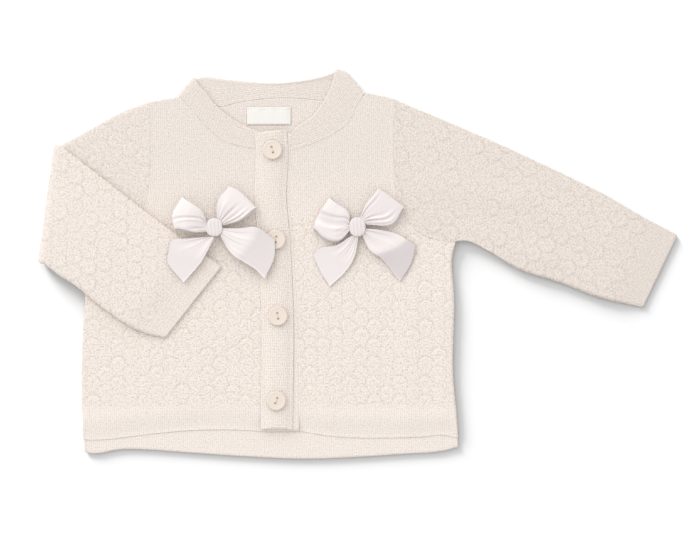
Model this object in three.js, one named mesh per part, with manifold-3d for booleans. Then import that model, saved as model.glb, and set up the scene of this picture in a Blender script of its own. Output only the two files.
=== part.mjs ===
// A knitted baby cardigan, laid flat on its back with one sleeve folded over the front.
// Frame in millimetres: +X right and +Y towards the collar as seen from above, +Z up.
// The origin lies under the middle of the back panel, which rests on the surface z = 0.
// Left and right are as seen from above. Outlines are lists of [x, y] points.
import * as THREE from "three";
import { mergeVertices } from "three/addons/utils/BufferGeometryUtils.js";
import Module from "manifold-3d";

const wasm = await Module();
wasm.setup();

// Cloth
const KNIT_WALL = 2;
const RIBBON_WALL = 1;
const LABEL_WALL = 1;
const GAP = 0.3;
const EDGE_ROUND = 1.4;
const SEAM_INSET = 0.45;

// Layers, one on the other
const BACK_HIGH = KNIT_WALL;
const FRONT_LOW = BACK_HIGH + GAP;
const FRONT_HIGH = FRONT_LOW + KNIT_WALL;
const BAND_LOW = FRONT_HIGH + GAP;
const BAND_HIGH = BAND_LOW + KNIT_WALL;
const BUTTON_LOW = BAND_HIGH + GAP;

// Body and sleeves
const CHEST_HALF = 117.3;
const SHOULDER_HALF = 76.5;
const ARMPIT = [114.8, 17.5];
const NECK_LEFT = [-56.9, 108.1];
const NECK_RIGHT = [56.9, 109];
const SHOULDER_LEFT = [-SHOULDER_HALF, 105];
const SHOULDER_RIGHT = [SHOULDER_HALF, 106.8];
const FRONT_HEM = -105;
const BACK_HEM = -112;
const CUFF_TOP = [253.7, 21.9];
const CUFF_LOW = [231.9, -23.7];
const ELBOW_TOP = [-131.9, 78];
const ELBOW_LOW = [-141.9, 3.5];
const FOLDED_CUFF_TOP = [-31.2, 2.5];
const FOLDED_CUFF_LOW = [-66.9, -42.5];
const FOLD_AXIS_HEIGHT = FRONT_HIGH + GAP / 2;

// Button band, buttons and label
const BAND_WIDTH = 20;
const BUTTON_RADIUS = 6;
const BUTTON_HEIGHT = 2.2;
const BUTTON_RIM = 1.3;
const BUTTON_DISH = 0.6;
const THREAD_HOLE_RADIUS = 0.8;
const THREAD_HOLE_SPACING = 3.4;
const LABEL_SIZE = [27.5, 11];
const LABEL_CENTRE = [-2, 96.4];

// Bows
const KNOT_SIZE = 9;
const KNOT_HEIGHT = 6;
const LOOP_HEIGHT = 6.5;
const RIBBON_COLUMNS = 5;
const TAIL_ROWS = 8;

// Materials
const knit = () => new THREE.MeshStandardMaterial({ color: 0xf1e8e2, roughness: 0.95 });
const satin = () => new THREE.MeshStandardMaterial({ color: 0xf7f5fb, roughness: 0.35 });
const plastic = () => new THREE.MeshStandardMaterial({ color: 0xf2e4d6, roughness: 0.4 });
const labelCloth = () => new THREE.MeshStandardMaterial({ color: 0xfafaf8, roughness: 0.6 });

// Curves and grids

const mix = (a, b, t) => a + (b - a) * t;
const toVector = ([x, y]) => new THREE.Vector3(x, y, 0);

// A smooth curve through points, as a function of the share of its length.
function curve(points) {
  const path = new THREE.CatmullRomCurve3(points.map(toVector), false, "centripetal");
  path.arcLengthDivisions = 400;
  return (t) => path.getPointAt(Math.min(Math.max(t, 0), 1));
}

// Several curves end to end, as rows of [share where it ends, curve].
function chain(parts) {
  return (share) => {
    const found = parts.findIndex(([end]) => share <= end);
    const i = found < 0 ? parts.length - 1 : found;
    const start = i > 0 ? parts[i - 1][0] : 0;
    const [end, path] = parts[i];
    return path((share - start) / (end - start));
  };
}

// The same curve moved sideways: a positive distance moves it to the left of its direction.
function offset(path, distance) {
  const step = 0.004;
  return (t) => {
    const along = path(Math.min(t + step, 1)).sub(path(Math.max(t - step, 0))).normalize();
    return path(t).add(new THREE.Vector3(-along.y, along.x, 0).multiplyScalar(distance));
  };
}

// A straight line between two points.
const line = (a, b) => (t) => a.clone().lerp(b, t);

// A curve from one point through the middle points to another.
const joined = (start, middle, end) =>
  curve([[start.x, start.y], ...middle, [end.x, end.y]]);

// The surface that four boundary curves span: u runs across and v runs up.
function span({ left, right, low, high }) {
  return (u, v) => {
    const across = left(v).multiplyScalar(1 - u).add(right(v).multiplyScalar(u));
    const up = low(u).multiplyScalar(1 - v).add(high(u).multiplyScalar(v));
    const lowCorners = low(0).multiplyScalar(1 - u).add(low(1).multiplyScalar(u));
    const highCorners = high(0).multiplyScalar(1 - u).add(high(1).multiplyScalar(u));
    const corners = lowCorners.multiplyScalar(1 - v).add(highCorners.multiplyScalar(v));
    return across.add(up).sub(corners);
  };
}

// Shares along a length: the given inner ones, and close ones at both rounded ends.
function shares(length, inner, round) {
  const margin = [0, 0.3, 1].map((part) => (part * round) / length);
  const kept = inner.filter((share) => share > margin[2] + 0.004 && share < 1 - margin[2] - 0.004);
  return [...margin, ...kept, ...margin.map((share) => 1 - share).reverse()];
}

// Evenly spaced inner shares.
const evenly = (count) => Array.from({ length: count - 1 }, (_, i) => (i + 1) / count);

// How far a rounded edge lies below the face, at a distance inside the outline.
function edgeDrop(distance, round = EDGE_ROUND) {
  const inside = Math.min(Math.max(distance, 0), round);
  return round - Math.sqrt(round ** 2 - (round - inside) ** 2);
}

// Height that folds add at a point. Each fold is [x1, y1, x2, y2, half width, height].
function swell(folds, x, y) {
  const point = new THREE.Vector3(x, y, 0);
  return folds.reduce((sum, [x1, y1, x2, y2, halfWidth, height]) => {
    const ridge = new THREE.Line3(toVector([x1, y1]), toVector([x2, y2]));
    const nearest = ridge.closestPointToPoint(point, true, new THREE.Vector3());
    return sum + height * Math.exp(-((nearest.distanceTo(point) / halfWidth) ** 2));
  }, 0);
}

// Solids

// One closed body between two grids of matching points. A closed grid joins up sideways.
function solidBetween(outer, inner, closed = false) {
  const rows = outer.length;
  const columns = outer[0].length;
  const spans = closed ? columns : columns - 1;
  const points = [...outer.flat(), ...inner.flat()];
  const at = (skin, i, j) => (skin * rows + i) * columns + (j % columns);
  const faces = [];
  const quad = (a, b, c, d) => faces.push(a, b, c, a, c, d);
  for (let j = 0; j < spans; j++) {
    for (let i = 0; i < rows - 1; i++) {
      quad(at(0, i, j), at(0, i, j + 1), at(0, i + 1, j + 1), at(0, i + 1, j));
      quad(at(1, i, j), at(1, i + 1, j), at(1, i + 1, j + 1), at(1, i, j + 1));
    }
    quad(at(0, 0, j), at(1, 0, j), at(1, 0, j + 1), at(0, 0, j + 1));
    const end = rows - 1;
    quad(at(0, end, j), at(0, end, j + 1), at(1, end, j + 1), at(1, end, j));
  }
  if (!closed) {
    for (let i = 0; i < rows - 1; i++) {
      const side = columns - 1;
      quad(at(0, i, 0), at(0, i + 1, 0), at(1, i + 1, 0), at(1, i, 0));
      quad(at(0, i, side), at(1, i, side), at(1, i + 1, side), at(0, i + 1, side));
    }
  }
  return facingOut(points, faces);
}

// A geometry whose faces point outwards, whichever way its grid was walked.
function facingOut(points, faces) {
  let volume = 0;
  for (let k = 0; k < faces.length; k += 3) {
    const [a, b, c] = [points[faces[k]], points[faces[k + 1]], points[faces[k + 2]]];
    volume += a.dot(new THREE.Vector3().crossVectors(b, c));
  }
  const index = volume > 0 ? faces : faces.reverse();
  const geometry = new THREE.BufferGeometry().setFromPoints(points).setIndex(index);
  geometry.computeVertexNormals();
  return geometry;
}

// A geometry as a solid that can be cut.
function toSolid(geometry) {
  const bare = geometry.clone();
  bare.deleteAttribute("normal");
  bare.deleteAttribute("uv");
  const merged = mergeVertices(bare, 1e-4);
  const vertProperties = new Float32Array(merged.attributes.position.array);
  const triVerts = new Uint32Array(merged.index.array);
  return new wasm.Manifold(new wasm.Mesh({ numProp: 3, vertProperties, triVerts }));
}

// A cut solid as a geometry again.
function toGeometry(solid) {
  const { vertProperties, triVerts } = solid.getMesh();
  const geometry = new THREE.BufferGeometry();
  geometry.setAttribute("position", new THREE.BufferAttribute(vertProperties, 3));
  geometry.setIndex([...triVerts]);
  geometry.computeVertexNormals();
  return geometry;
}

// A flat piece of cloth. Its face up, or its face down, is rounded at the edges.
function clothPiece(outline, columns, rows, low, high, options = {}) {
  const { faceDown = false, folds = [], round = EDGE_ROUND } = options;
  const surface = span(outline);
  const height = surface(0.5, 0).distanceTo(surface(0.5, 1));
  const top = [];
  const bottom = [];
  for (const v of shares(height, rows, round)) {
    const width = surface(0, v).distanceTo(surface(1, v));
    const topRow = [];
    const bottomRow = [];
    for (const u of shares(width, columns, round)) {
      const { x, y } = surface(u, v);
      const sideDistance = Math.min(u, 1 - u) * width;
      const endDistance = Math.min(v, 1 - v) * height;
      const drop = Math.max(edgeDrop(sideDistance, round), edgeDrop(endDistance, round));
      const lift = swell(folds, x, y);
      topRow.push(new THREE.Vector3(x, y, high + lift - (faceDown ? 0 : drop)));
      bottomRow.push(new THREE.Vector3(x, y, low + lift + (faceDown ? drop : 0)));
    }
    top.push(topRow);
    bottom.push(bottomRow);
  }
  return solidBetween(top, bottom);
}

// Body panels

// Shares of a panel's height: its armhole starts at the second, its neckline at the third.
const ARMPIT_SHARE = 0.56;
const NECK_SHARE = 0.8;
const LOW_ROWS = [0.09, 0.18, 0.27, 0.36, 0.45, 0.53];
const ARMHOLE_ROWS = [0.56, 0.585, 0.61, 0.635, 0.66, 0.685, 0.71, 0.735, 0.77];
const NECK_ROWS = [0.8, 0.83, 0.86, 0.89, 0.92, 0.95];
const PANEL_ROWS = [...LOW_ROWS, ...ARMHOLE_ROWS, ...NECK_ROWS];

const SIDE_SEAM_LEFT = [[118.4, -92], [118.9, -62], [117, -19], [115.4, 6]];
const SIDE_SEAM_RIGHT = [[115.6, -92], [113.2, -62], [114, -19], [112.6, 6]];
const ARMHOLE = [ARMPIT, [104, 18.8], [92.5, 23], [83, 33], [77.4, 50], [76, 75]];

// The curve that a sleeve is sewn to, from the armpit up to the shoulder.
const armhole = (side, shoulder) =>
  curve([...ARMHOLE.map(([x, y]) => [side * x, y]), shoulder]);

// The outer edge of a panel, from the corner of its hem to its shoulder.
function outerEdge(side, hemCorner, shoulder) {
  const sideSeam = side < 0 ? SIDE_SEAM_LEFT : SIDE_SEAM_RIGHT;
  const seam = curve([hemCorner, ...sideSeam, ARMPIT].map(([x, y]) => [side * x, y]));
  const path = chain([[ARMPIT_SHARE, seam], [1, armhole(side, shoulder)]]);
  return offset(path, side * SEAM_INSET);
}

// The middle of the button band, from the hem up. The fronts and the neckband meet its edges.
const UNDER_BAND_MIDDLE = [
  [7, -101],
  [6.6, -81],
  [6.2, -50],
  [5.4, -19],
  [3, 18],
  [1.2, 44],
  [1.5, 75],
  [2, 86],
];
const UNDER_BAND_NECK = 0.941;
const underBand = curve(UNDER_BAND_MIDDLE);
const besideBand = (side) => offset(underBand, -side * (BAND_WIDTH / 2 + GAP));

const NECK_SEAM_LEFT = [[-29.4, 80.6], [-41.9, 90.6], [-51.2, 101.2], NECK_LEFT];
const NECK_SEAM_RIGHT = [[23.7, 78.4], [35, 83.3], [45, 89.6], [49.6, 95], [53.1, 103], NECK_RIGHT];
const NECK_SEAM_BACK = [
  NECK_LEFT,
  [-46, 104],
  [-34.4, 101.9],
  [-20, 105],
  [-1.2, 107.4],
  [17.5, 107.4],
  [31.2, 106.2],
  NECK_RIGHT,
];
const FRONT_HEM_LEFT = [[-107, -106.2], [-70, -101.9], [-45, -100], [-20, -100]];
const FRONT_HEM_RIGHT = [[42.5, -104.4], [92.5, -104.4], [106, -103.1]];
const BACK_HEM_LINE = [
  [-110, -114.8],
  [-95, -112.2],
  [-75, -112.5],
  [-57.5, -113.8],
  [-20, -116.4],
  [17.5, -118.1],
  [48.7, -117.2],
  [80, -115.2],
  [105, -113.4],
];
const RIGHT_BODY_FOLDS = [
  [88, -20, 88, -100, 5, 1.2],
  [107, -14, 107, -98, 4, 1],
  [30, -78, 35, -98, 3, 1.1],
];

// The seam between a front and the neckband, from the button band round to the shoulder.
function frontNeckSeam(side) {
  const start = besideBand(side)(UNDER_BAND_NECK);
  return curve([[start.x, start.y], ...(side < 0 ? NECK_SEAM_LEFT : NECK_SEAM_RIGHT)]);
}

function front(side, hem, hemCorner, shoulder, folds) {
  const outer = outerEdge(side, hemCorner, shoulder);
  const opening = (t) => besideBand(side)(t * UNDER_BAND_NECK);
  const neckline = offset(frontNeckSeam(side), -side * SEAM_INSET);
  const inner = chain([[NECK_SHARE, opening], [1, neckline]]);
  const [left, right] = side < 0 ? [outer, inner] : [inner, outer];
  const low = joined(left(0), hem, right(0));
  const high = line(left(1), right(1));
  const outline = { left, right, low, high };
  return clothPiece(outline, evenly(10), PANEL_ROWS, FRONT_LOW, FRONT_HIGH, { folds });
}

function back() {
  const left = outerEdge(-1, [CHEST_HALF - 0.4, BACK_HEM - 2], SHOULDER_LEFT);
  const right = outerEdge(1, [CHEST_HALF - 1.1, BACK_HEM + 1.2], SHOULDER_RIGHT);
  const low = joined(left(0), BACK_HEM_LINE, right(0));
  const seam = offset(curve(NECK_SEAM_BACK), -SEAM_INSET);
  const high = chain([
    [0.13, line(left(1), seam(0))],
    [0.87, seam],
    [1, line(seam(1), right(1))],
  ]);
  const outline = { left, right, low, high };
  return clothPiece(outline, evenly(22), PANEL_ROWS, 0, BACK_HIGH, { faceDown: true });
}

// Sleeves

const SLEEVE_HALF_HEIGHT = FRONT_HIGH / 2;
const RUN_POINTS = 9;
const ROUND_POINTS = 4;

// The section of a flattened tube, as rows of { across, height }, across from its top edge.
function tubeSection(width, radius) {
  const turn = SLEEVE_HALF_HEIGHT;
  const section = [];
  const flat = (from, to, height) => {
    for (let i = 0; i < RUN_POINTS; i++) {
      section.push({ across: mix(from, to, i / (RUN_POINTS - 1)), height });
    }
  };
  const round = (centre, direction) => {
    for (let i = 1; i < ROUND_POINTS; i++) {
      const angle = (Math.PI * i) / ROUND_POINTS;
      const across = centre + direction * radius * Math.sin(angle);
      section.push({ across, height: turn + direction * radius * Math.cos(angle) });
    }
  };
  flat(turn, width - turn, turn + radius);
  round(width - turn, 1);
  flat(width - turn, turn, turn - radius);
  round(turn, -1);
  return section;
}

// A sleeve through its stations. A station maps a point of the section into the garment.
function sleeve(stations) {
  const grid = (radius) =>
    stations.map(({ width, place }) =>
      tubeSection(width, radius).map(({ across, height }) => place(across / width, height)),
    );
  return solidBetween(grid(SLEEVE_HALF_HEIGHT), grid(GAP / 2), true);
}

// Stations between two curves across the cloth, as it lies between a top and a low edge.
function flatStations(count, top, low, bend, lift) {
  const stations = [];
  for (let i = 0; i <= count; i++) {
    const along = i / count;
    const from = top(along);
    const to = low(along);
    const place = (w, height) => {
      const point = from.clone().lerp(to, w).add(bend(w, along));
      return point.setZ(height + lift(point.x, point.y, height));
    };
    stations.push({ width: from.distanceTo(to), place });
  }
  return stations;
}

// The same curve walked the other way.
const downwards = (path) => (t) => path(1 - t);

// How the armhole bows away from the straight line, fading out along the sleeve.
function armholeBend(seam, fadeAt) {
  const chord = line(seam(0), seam(1));
  return (w, along) => seam(w).sub(chord(w)).multiplyScalar(Math.max(1 - along / fadeAt, 0) ** 2);
}

const RIGHT_SLEEVE_FOLDS = [
  [102, 52, 155, 44, 7, 1],
  [155, 44, 205, 16, 7, 1],
  [125, 24, 170, 8, 6, 1],
  [170, 8, 212, -8, 6, 0.9],
];

// The sleeve that lies stretched out.
function sleeveRight() {
  const seam = downwards(armhole(1, SHOULDER_RIGHT));
  const topEdge = [[118, 89.3], [162.5, 69.4], [207.5, 47.5], [230, 34.5]];
  const top = joined(seam(0), topEdge, toVector(CUFF_TOP));
  const lowEdge = [[123, 18], [136.2, 11.2], [155, 0], [180, -8.1], [205, -17.5]];
  const low = joined(seam(1), lowEdge, toVector(CUFF_LOW));
  const lift = (x, y, height) =>
    height > SLEEVE_HALF_HEIGHT ? swell(RIGHT_SLEEVE_FOLDS, x, y) : 0;
  return sleeve(flatStations(18, top, low, armholeBend(seam, 0.45), lift));
}

const FOREARM_FOLDS = [
  [-126, 36, -76, -12, 12, 1.2],
  [-112, 0, -88, -22, 8, 0.5],
];

// The sleeve that is folded at the elbow, so that its forearm lies on the front.
function sleeveLeft() {
  const seam = downwards(armhole(-1, SHOULDER_LEFT));
  const elbowTop = toVector(ELBOW_TOP);
  const elbowLow = toVector(ELBOW_LOW);
  const still = () => 0;
  const straight = () => new THREE.Vector3();
  const upperLow = joined(seam(1), [[-124, 15.5]], elbowLow);
  const bend = armholeBend(seam, 0.9);
  const upperTop = joined(seam(0), [[-93.8, 98.7], [-108.8, 90.6]], elbowTop);
  const upper = flatStations(7, upperTop, upperLow, bend, still);

  const foldWidth = elbowTop.distanceTo(elbowLow);
  const along = elbowLow.clone().sub(elbowTop).normalize();
  const outwards = new THREE.Vector3(along.y, -along.x, 0);
  const turn = [1, 2, 3, 4, 5].map((step) => (Math.PI * step) / 6);
  const fold = turn.map((angle) => ({
    width: foldWidth,
    place: (w, height) => {
      const radius = FOLD_AXIS_HEIGHT - height;
      const point = elbowTop.clone().lerp(elbowLow, w);
      point.addScaledVector(outwards, radius * Math.sin(angle));
      return point.setZ(FOLD_AXIS_HEIGHT - radius * Math.cos(angle));
    },
  }));

  const foreTop = joined(elbowTop, [[-66.9, 28.1]], toVector(FOLDED_CUFF_TOP));
  const foreLowEdge = [[-133.6, -3], [-122.8, -10], [-107.5, -22.6], [-95, -31.6], [-82.5, -38.6]];
  const foreLow = joined(elbowLow, foreLowEdge, toVector(FOLDED_CUFF_LOW));
  const lift = (x, y, height) =>
    height < SLEEVE_HALF_HEIGHT ? swell(FOREARM_FOLDS, x, y) : 0;
  const flatFore = flatStations(11, foreTop, foreLow, straight, lift);
  const forearm = flatFore.map(({ width, place }) => ({
    width,
    place: (w, height) => {
      const point = place(w, height);
      return point.setZ(2 * FOLD_AXIS_HEIGHT - 2 * height + point.z);
    },
  }));
  return sleeve([...upper, ...fold, ...forearm]);
}

// Neckband: one knitted strip, in three pieces between its folds

const NECK_EDGE_LEFT = [[-20, 91.8], [-33.7, 101.9], [-41.9, 112], [-44.5, 114.4], [-47.5, 119.4]];
const NECK_EDGE_RIGHT = [[15, 89.3], [25, 96.2], [31.2, 104.4], [36.2, 113.7], [39.4, 124]];
const NECK_EDGE_BACK = [
  [-47.5, 119.4],
  [-43.1, 120.6],
  [-20, 118.1],
  [5, 116.9],
  [30, 120.6],
  [39.4, 124],
];
const NECK_FOLD_RIGHT = [[50.6, 116.2], [45.6, 121.9]];

// The front part of the neckband on one side, from the button band to its fold.
function neckbandFront(side) {
  const low = frontNeckSeam(side);
  const start = besideBand(side)(1);
  const high = curve([[start.x, start.y], ...(side < 0 ? NECK_EDGE_LEFT : NECK_EDGE_RIGHT)]);
  const fold = side < 0 ? line(low(1), high(1)) : joined(low(1), NECK_FOLD_RIGHT, high(1));
  const outline = { left: line(low(0), high(0)), right: fold, low, high };
  return clothPiece(outline, evenly(11), evenly(3), FRONT_LOW, FRONT_HIGH);
}

// The back part of the neckband, from fold to fold.
function neckbandBack() {
  const low = curve(NECK_SEAM_BACK);
  const high = curve(NECK_EDGE_BACK);
  const right = joined(low(1), NECK_FOLD_RIGHT, high(1));
  const outline = { left: line(low(0), high(0)), right, low, high };
  return clothPiece(outline, evenly(12), evenly(3), 0, BACK_HIGH, { faceDown: true });
}

// Button bands

const UPPER_BAND_MIDDLE = [
  [2.8, -99.5],
  [3, -81],
  [3.4, -44],
  [3, -19],
  [1.2, 19],
  [-1, 44],
  [0, 75],
  [-1, 87],
];

function buttonBand(middle, low, high) {
  const left = offset(middle, BAND_WIDTH / 2);
  const right = offset(middle, -BAND_WIDTH / 2);
  const outline = { left, right, low: line(left(0), right(0)), high: line(left(1), right(1)) };
  return clothPiece(outline, evenly(4), evenly(15), low, high);
}

// Buttons

const BUTTON_PLACES = [
  { x: 0.3, y: 75, turn: 0.3 },
  { x: 2.5, y: 19, turn: -0.2 },
  { x: 3.7, y: -28.7, turn: 0.15 },
  { x: 2.8, y: -81.6, turn: -0.35 },
];

// A round button with a raised rim and two thread holes.
function button({ x, y, turn }) {
  const rimInside = BUTTON_RADIUS - BUTTON_RIM;
  const profile = [
    [0, 0],
    [BUTTON_RADIUS - 0.7, 0],
    [BUTTON_RADIUS, 0.8],
    [BUTTON_RADIUS, BUTTON_HEIGHT - 0.5],
    [BUTTON_RADIUS - 0.5, BUTTON_HEIGHT],
    [rimInside, BUTTON_HEIGHT - 0.1],
    [rimInside - 0.8, BUTTON_HEIGHT - BUTTON_DISH],
    [0, BUTTON_HEIGHT - BUTTON_DISH],
  ];
  const disc = new THREE.LatheGeometry(profile.map(([r, z]) => new THREE.Vector2(r, z)), 24);
  disc.rotateX(Math.PI / 2);
  let solid = toSolid(disc);
  for (const side of [-1, 1]) {
    const hole = new THREE.CylinderGeometry(THREAD_HOLE_RADIUS, THREAD_HOLE_RADIUS, 8, 10);
    hole.rotateX(Math.PI / 2).translate(0, (side * THREAD_HOLE_SPACING) / 2, 0);
    solid = solid.subtract(toSolid(hole));
  }
  return toGeometry(solid).rotateZ(turn).translate(x, y, BUTTON_LOW);
}

// Bows

// Each ribbon end leaves the knot at its root and spreads to its far edge. sides are its two
// selvages without their ends. heights are for its underside at the root and the far edge.
const BOWS = [
  {
    name: "bow_left",
    knot: [-35.9, 26.3],
    loops: [
      { root: [[-40.75, 29], [-40.75, 23.8]], far: [[-55.6, 46.2], [-62.2, 34], [-60.6, 25]],
        sides: [[[-48, 40.5]], [[-50, 23.4]]], heights: [7.4, 9.5] },
      { root: [[-34.25, 32.15], [-29.95, 27.85]], far: [[-27.6, 52.3], [-21.5, 50.2], [-9.2, 38.6]],
        sides: [[[-34, 44]], [[-17, 31.5]]], heights: [6.8, 7] },
    ],
    tails: [
      { root: [[-40.2, 20.5], [-36, 20.3]], far: [[-65, 9], [-64.8, 4.4], [-55, -8.1]],
        sides: [[[-52, 19.6], [-62, 18.4]], [[-40, 12], [-44.4, 4.4]]], heights: [9.4, 9.7] },
      { root: [[-30.2, 25.5], [-31.2, 20.5]], far: [[1.9, 18.8], [1.6, 8], [-4.4, -5.6]],
        sides: [[[-20, 26], [-9.4, 26.5]], [[-25, 10], [-10.6, 0.6]]], heights: [8.4, 9.6] },
    ],
  },
  {
    name: "bow_right",
    knot: [53.4, 26.9],
    loops: [
      { root: [[48.55, 29.6], [48.55, 24.4]], far: [[36.2, 46], [28, 33], [25.6, 25.5]],
        sides: [[[44, 39.5]], [[42, 18], [32.5, 18.6]]], heights: [6.6, 4.7] },
      { root: [[55.05, 32.85], [59.35, 28.45]], far: [[65.8, 51.6], [72, 47.6], [83, 39.2]],
        sides: [[[60, 44]], [[76.5, 28.6]]], heights: [6.6, 4.7] },
    ],
    tails: [
      { root: [[49.6, 21.1], [54, 21.1]], far: [[25.6, 9.5], [30.5, -1.5], [36.2, -10.4]],
        sides: [[[40, 15.4], [31, 13.9]], [[51.5, 8], [46, -1]]], heights: [7, 4.7] },
      { root: [[59.1, 25.4], [57, 21.2]], far: [[89.8, 15.4], [87.4, 5], [80, -7.4]],
        sides: [[[68, 25], [78, 22.6]], [[61, 12.6], [69, 6.5]]], heights: [7, 4.7] },
    ],
  },
];

// The footprint of a ribbon end, from its root (v = 0) to its far edge (v = 1).
function ribbonSurface({ root, far, sides }) {
  const [rootA, rootB] = root.map(toVector);
  const farEdge = curve(far);
  const left = joined(rootA, sides[0], farEdge(0));
  const right = joined(rootB, sides[1], farEdge(1));
  return span({ left, right, low: line(rootA, rootB), high: farEdge });
}

// A tail: one layer of ribbon that settles from the knot onto what lies under it.
function tail(shape) {
  const surface = ribbonSurface(shape);
  const [rootHeight, farHeight] = shape.heights;
  const low = [];
  const high = [];
  for (let i = 0; i <= TAIL_ROWS; i++) {
    const v = i / TAIL_ROWS;
    const settle = THREE.MathUtils.smoothstep(v, 0, 0.75);
    const rows = [];
    for (let j = 0; j <= RIBBON_COLUMNS; j++) {
      const u = j / RIBBON_COLUMNS;
      const gather = 0.5 * (1 - v) * (1 - Math.cos(2 * Math.PI * u));
      rows.push(surface(u, v).setZ(mix(rootHeight, farHeight, settle) + gather));
    }
    low.push(rows);
    high.push(rows.map((point) => point.clone().setZ(point.z + RIBBON_WALL)));
  }
  return solidBetween(high, low);
}

// The outer face of a loop, as [share of the way out, share of its height].
const LOOP_PROFILE = [
  [0, 0],
  [0.35, 0],
  [0.7, 0],
  [0.9, 0.08],
  [0.985, 0.3],
  [1, 0.5],
  [0.97, 0.72],
  [0.86, 0.93],
  [0.68, 1],
  [0.45, 0.86],
  [0.2, 0.55],
  [0, 0.38],
];

// A loop: the ribbon runs out along the garment, turns over and comes back above itself.
function loop(shape) {
  const surface = ribbonSurface(shape);
  const [rootHeight, farHeight] = shape.heights;
  const middle = LOOP_PROFILE.map(([v, rise]) => ({ v, rise: rise * LOOP_HEIGHT }));
  const outer = [];
  const inner = [];
  for (let j = 0; j <= RIBBON_COLUMNS; j++) {
    const u = j / RIBBON_COLUMNS;
    const length = surface(u, 0).distanceTo(surface(u, 1));
    const place = (v, rise) => {
      const point = surface(u, Math.min(Math.max(v, 0), 1));
      return point.setZ(mix(rootHeight, farHeight, Math.min(1.6 * v, 1)) + rise);
    };
    const outerRow = [];
    const innerRow = [];
    middle.forEach(({ v, rise }, k) => {
      const before = middle[Math.max(k - 1, 0)];
      const after = middle[Math.min(k + 1, middle.length - 1)];
      const run = new THREE.Vector2((after.v - before.v) * length, after.rise - before.rise);
      run.normalize().multiplyScalar(RIBBON_WALL);
      outerRow.push(place(v, rise));
      innerRow.push(place(v - run.y / length, rise + run.x));
    });
    outer.push(outerRow);
    inner.push(innerRow);
  }
  return solidBetween(outer, inner);
}

// The knot: a rounded pad of wrapped ribbon, sewn to the front.
function knot([x, y]) {
  const round = 1.6;
  const half = KNOT_SIZE / 2 - round;
  const corners = Array.from({ length: 16 }, (_, i) => (2 * Math.PI * i) / 16).map((angle) => {
    const [across, up] = [Math.cos(angle), Math.sin(angle)];
    const reach = half / (Math.abs(across) ** 3 + Math.abs(up) ** 3) ** (1 / 3);
    return new THREE.Vector2(reach * across, reach * up);
  });
  const geometry = new THREE.ExtrudeGeometry(new THREE.Shape(corners), {
    depth: KNOT_HEIGHT - 2 * round,
    bevelThickness: round,
    bevelSize: round,
    bevelSegments: 2,
  });
  return toGeometry(toSolid(geometry)).translate(x, y, FRONT_HIGH + GAP + round);
}

// The assembled cardigan

const cardigan = new THREE.Group();

function add(name, geometry, material) {
  const mesh = new THREE.Mesh(geometry, material);
  mesh.name = name;
  cardigan.add(mesh);
}

add("back", back(), knit());
add("front_left", front(-1, FRONT_HEM_LEFT, [CHEST_HALF + 0.8, FRONT_HEM - 1], SHOULDER_LEFT, []), knit());
add("front_right",
  front(1, FRONT_HEM_RIGHT, [CHEST_HALF - 1, FRONT_HEM], SHOULDER_RIGHT, RIGHT_BODY_FOLDS), knit());
add("sleeve_left", sleeveLeft(), knit());
add("sleeve_right", sleeveRight(), knit());

add("neckband_left", neckbandFront(-1), knit());
add("neckband_right", neckbandFront(1), knit());
add("neckband_back", neckbandBack(), knit());

add("buttonhole_band", buttonBand(curve(UPPER_BAND_MIDDLE), BAND_LOW, BAND_HIGH), knit());
add("button_band", buttonBand(underBand, FRONT_LOW, FRONT_HIGH), knit());
BUTTON_PLACES.forEach((place, i) => add(`button_${i + 1}`, button(place), plastic()));

for (const bow of BOWS) {
  add(`${bow.name}_knot`, knot(bow.knot), satin());
  bow.loops.forEach((shape, i) => add(`${bow.name}_loop_${i + 1}`, loop(shape), satin()));
  bow.tails.forEach((shape, i) => add(`${bow.name}_tail_${i + 1}`, tail(shape), satin()));
}

const labelShape = new THREE.BoxGeometry(...LABEL_SIZE, LABEL_WALL);
labelShape.translate(...LABEL_CENTRE, FRONT_LOW + LABEL_WALL / 2);
add("label", labelShape, labelCloth());

export default cardigan;
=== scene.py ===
"""A knitted baby cardigan laid flat, with satin bows, and its studio stage.

Lengths in the functions are in millimetres, in the part's own frame: +X right and +Y
towards the collar as seen from above, +Z up. Meshes are stored in metres. Left and right
are as seen from above. A path is a function from a share of its length to points.
"""

import functools
import math

import bpy
import numpy as np
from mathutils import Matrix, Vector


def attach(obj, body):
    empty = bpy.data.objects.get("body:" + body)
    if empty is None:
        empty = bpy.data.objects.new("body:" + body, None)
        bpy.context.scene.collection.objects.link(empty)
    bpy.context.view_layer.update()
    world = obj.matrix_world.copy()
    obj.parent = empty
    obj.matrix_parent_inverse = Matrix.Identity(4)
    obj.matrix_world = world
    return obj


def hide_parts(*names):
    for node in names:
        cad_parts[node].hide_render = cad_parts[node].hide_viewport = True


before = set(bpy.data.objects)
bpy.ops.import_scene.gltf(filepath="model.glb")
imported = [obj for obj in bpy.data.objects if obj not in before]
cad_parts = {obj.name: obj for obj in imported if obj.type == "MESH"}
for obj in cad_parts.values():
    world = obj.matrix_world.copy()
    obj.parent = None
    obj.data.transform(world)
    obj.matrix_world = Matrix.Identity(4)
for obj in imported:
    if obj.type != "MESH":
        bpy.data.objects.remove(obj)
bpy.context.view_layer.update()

bl_info = {
    "name": "Knitted baby cardigan",
    "version": (1, 0, 0),
    "blender": (4, 5, 0),
    "location": "3D View > Sidebar > Cardigan",
    "description": "Knitted panels, ribbon bows, buttons and stage of a baby cardigan",
    "category": "Add Mesh",
}

MM = 0.001
FAR = 99.0

# Layers of cloth, one on the other
BACK_HIGH = 2.0
FRONT_LOW = 2.3
FRONT_HIGH = 4.3
BAND_LOW = 4.6
BAND_HIGH = 6.6
BUTTON_LOW = 6.9
EDGE_ROUND = 1.4
SEAM_INSET = 0.03

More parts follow.
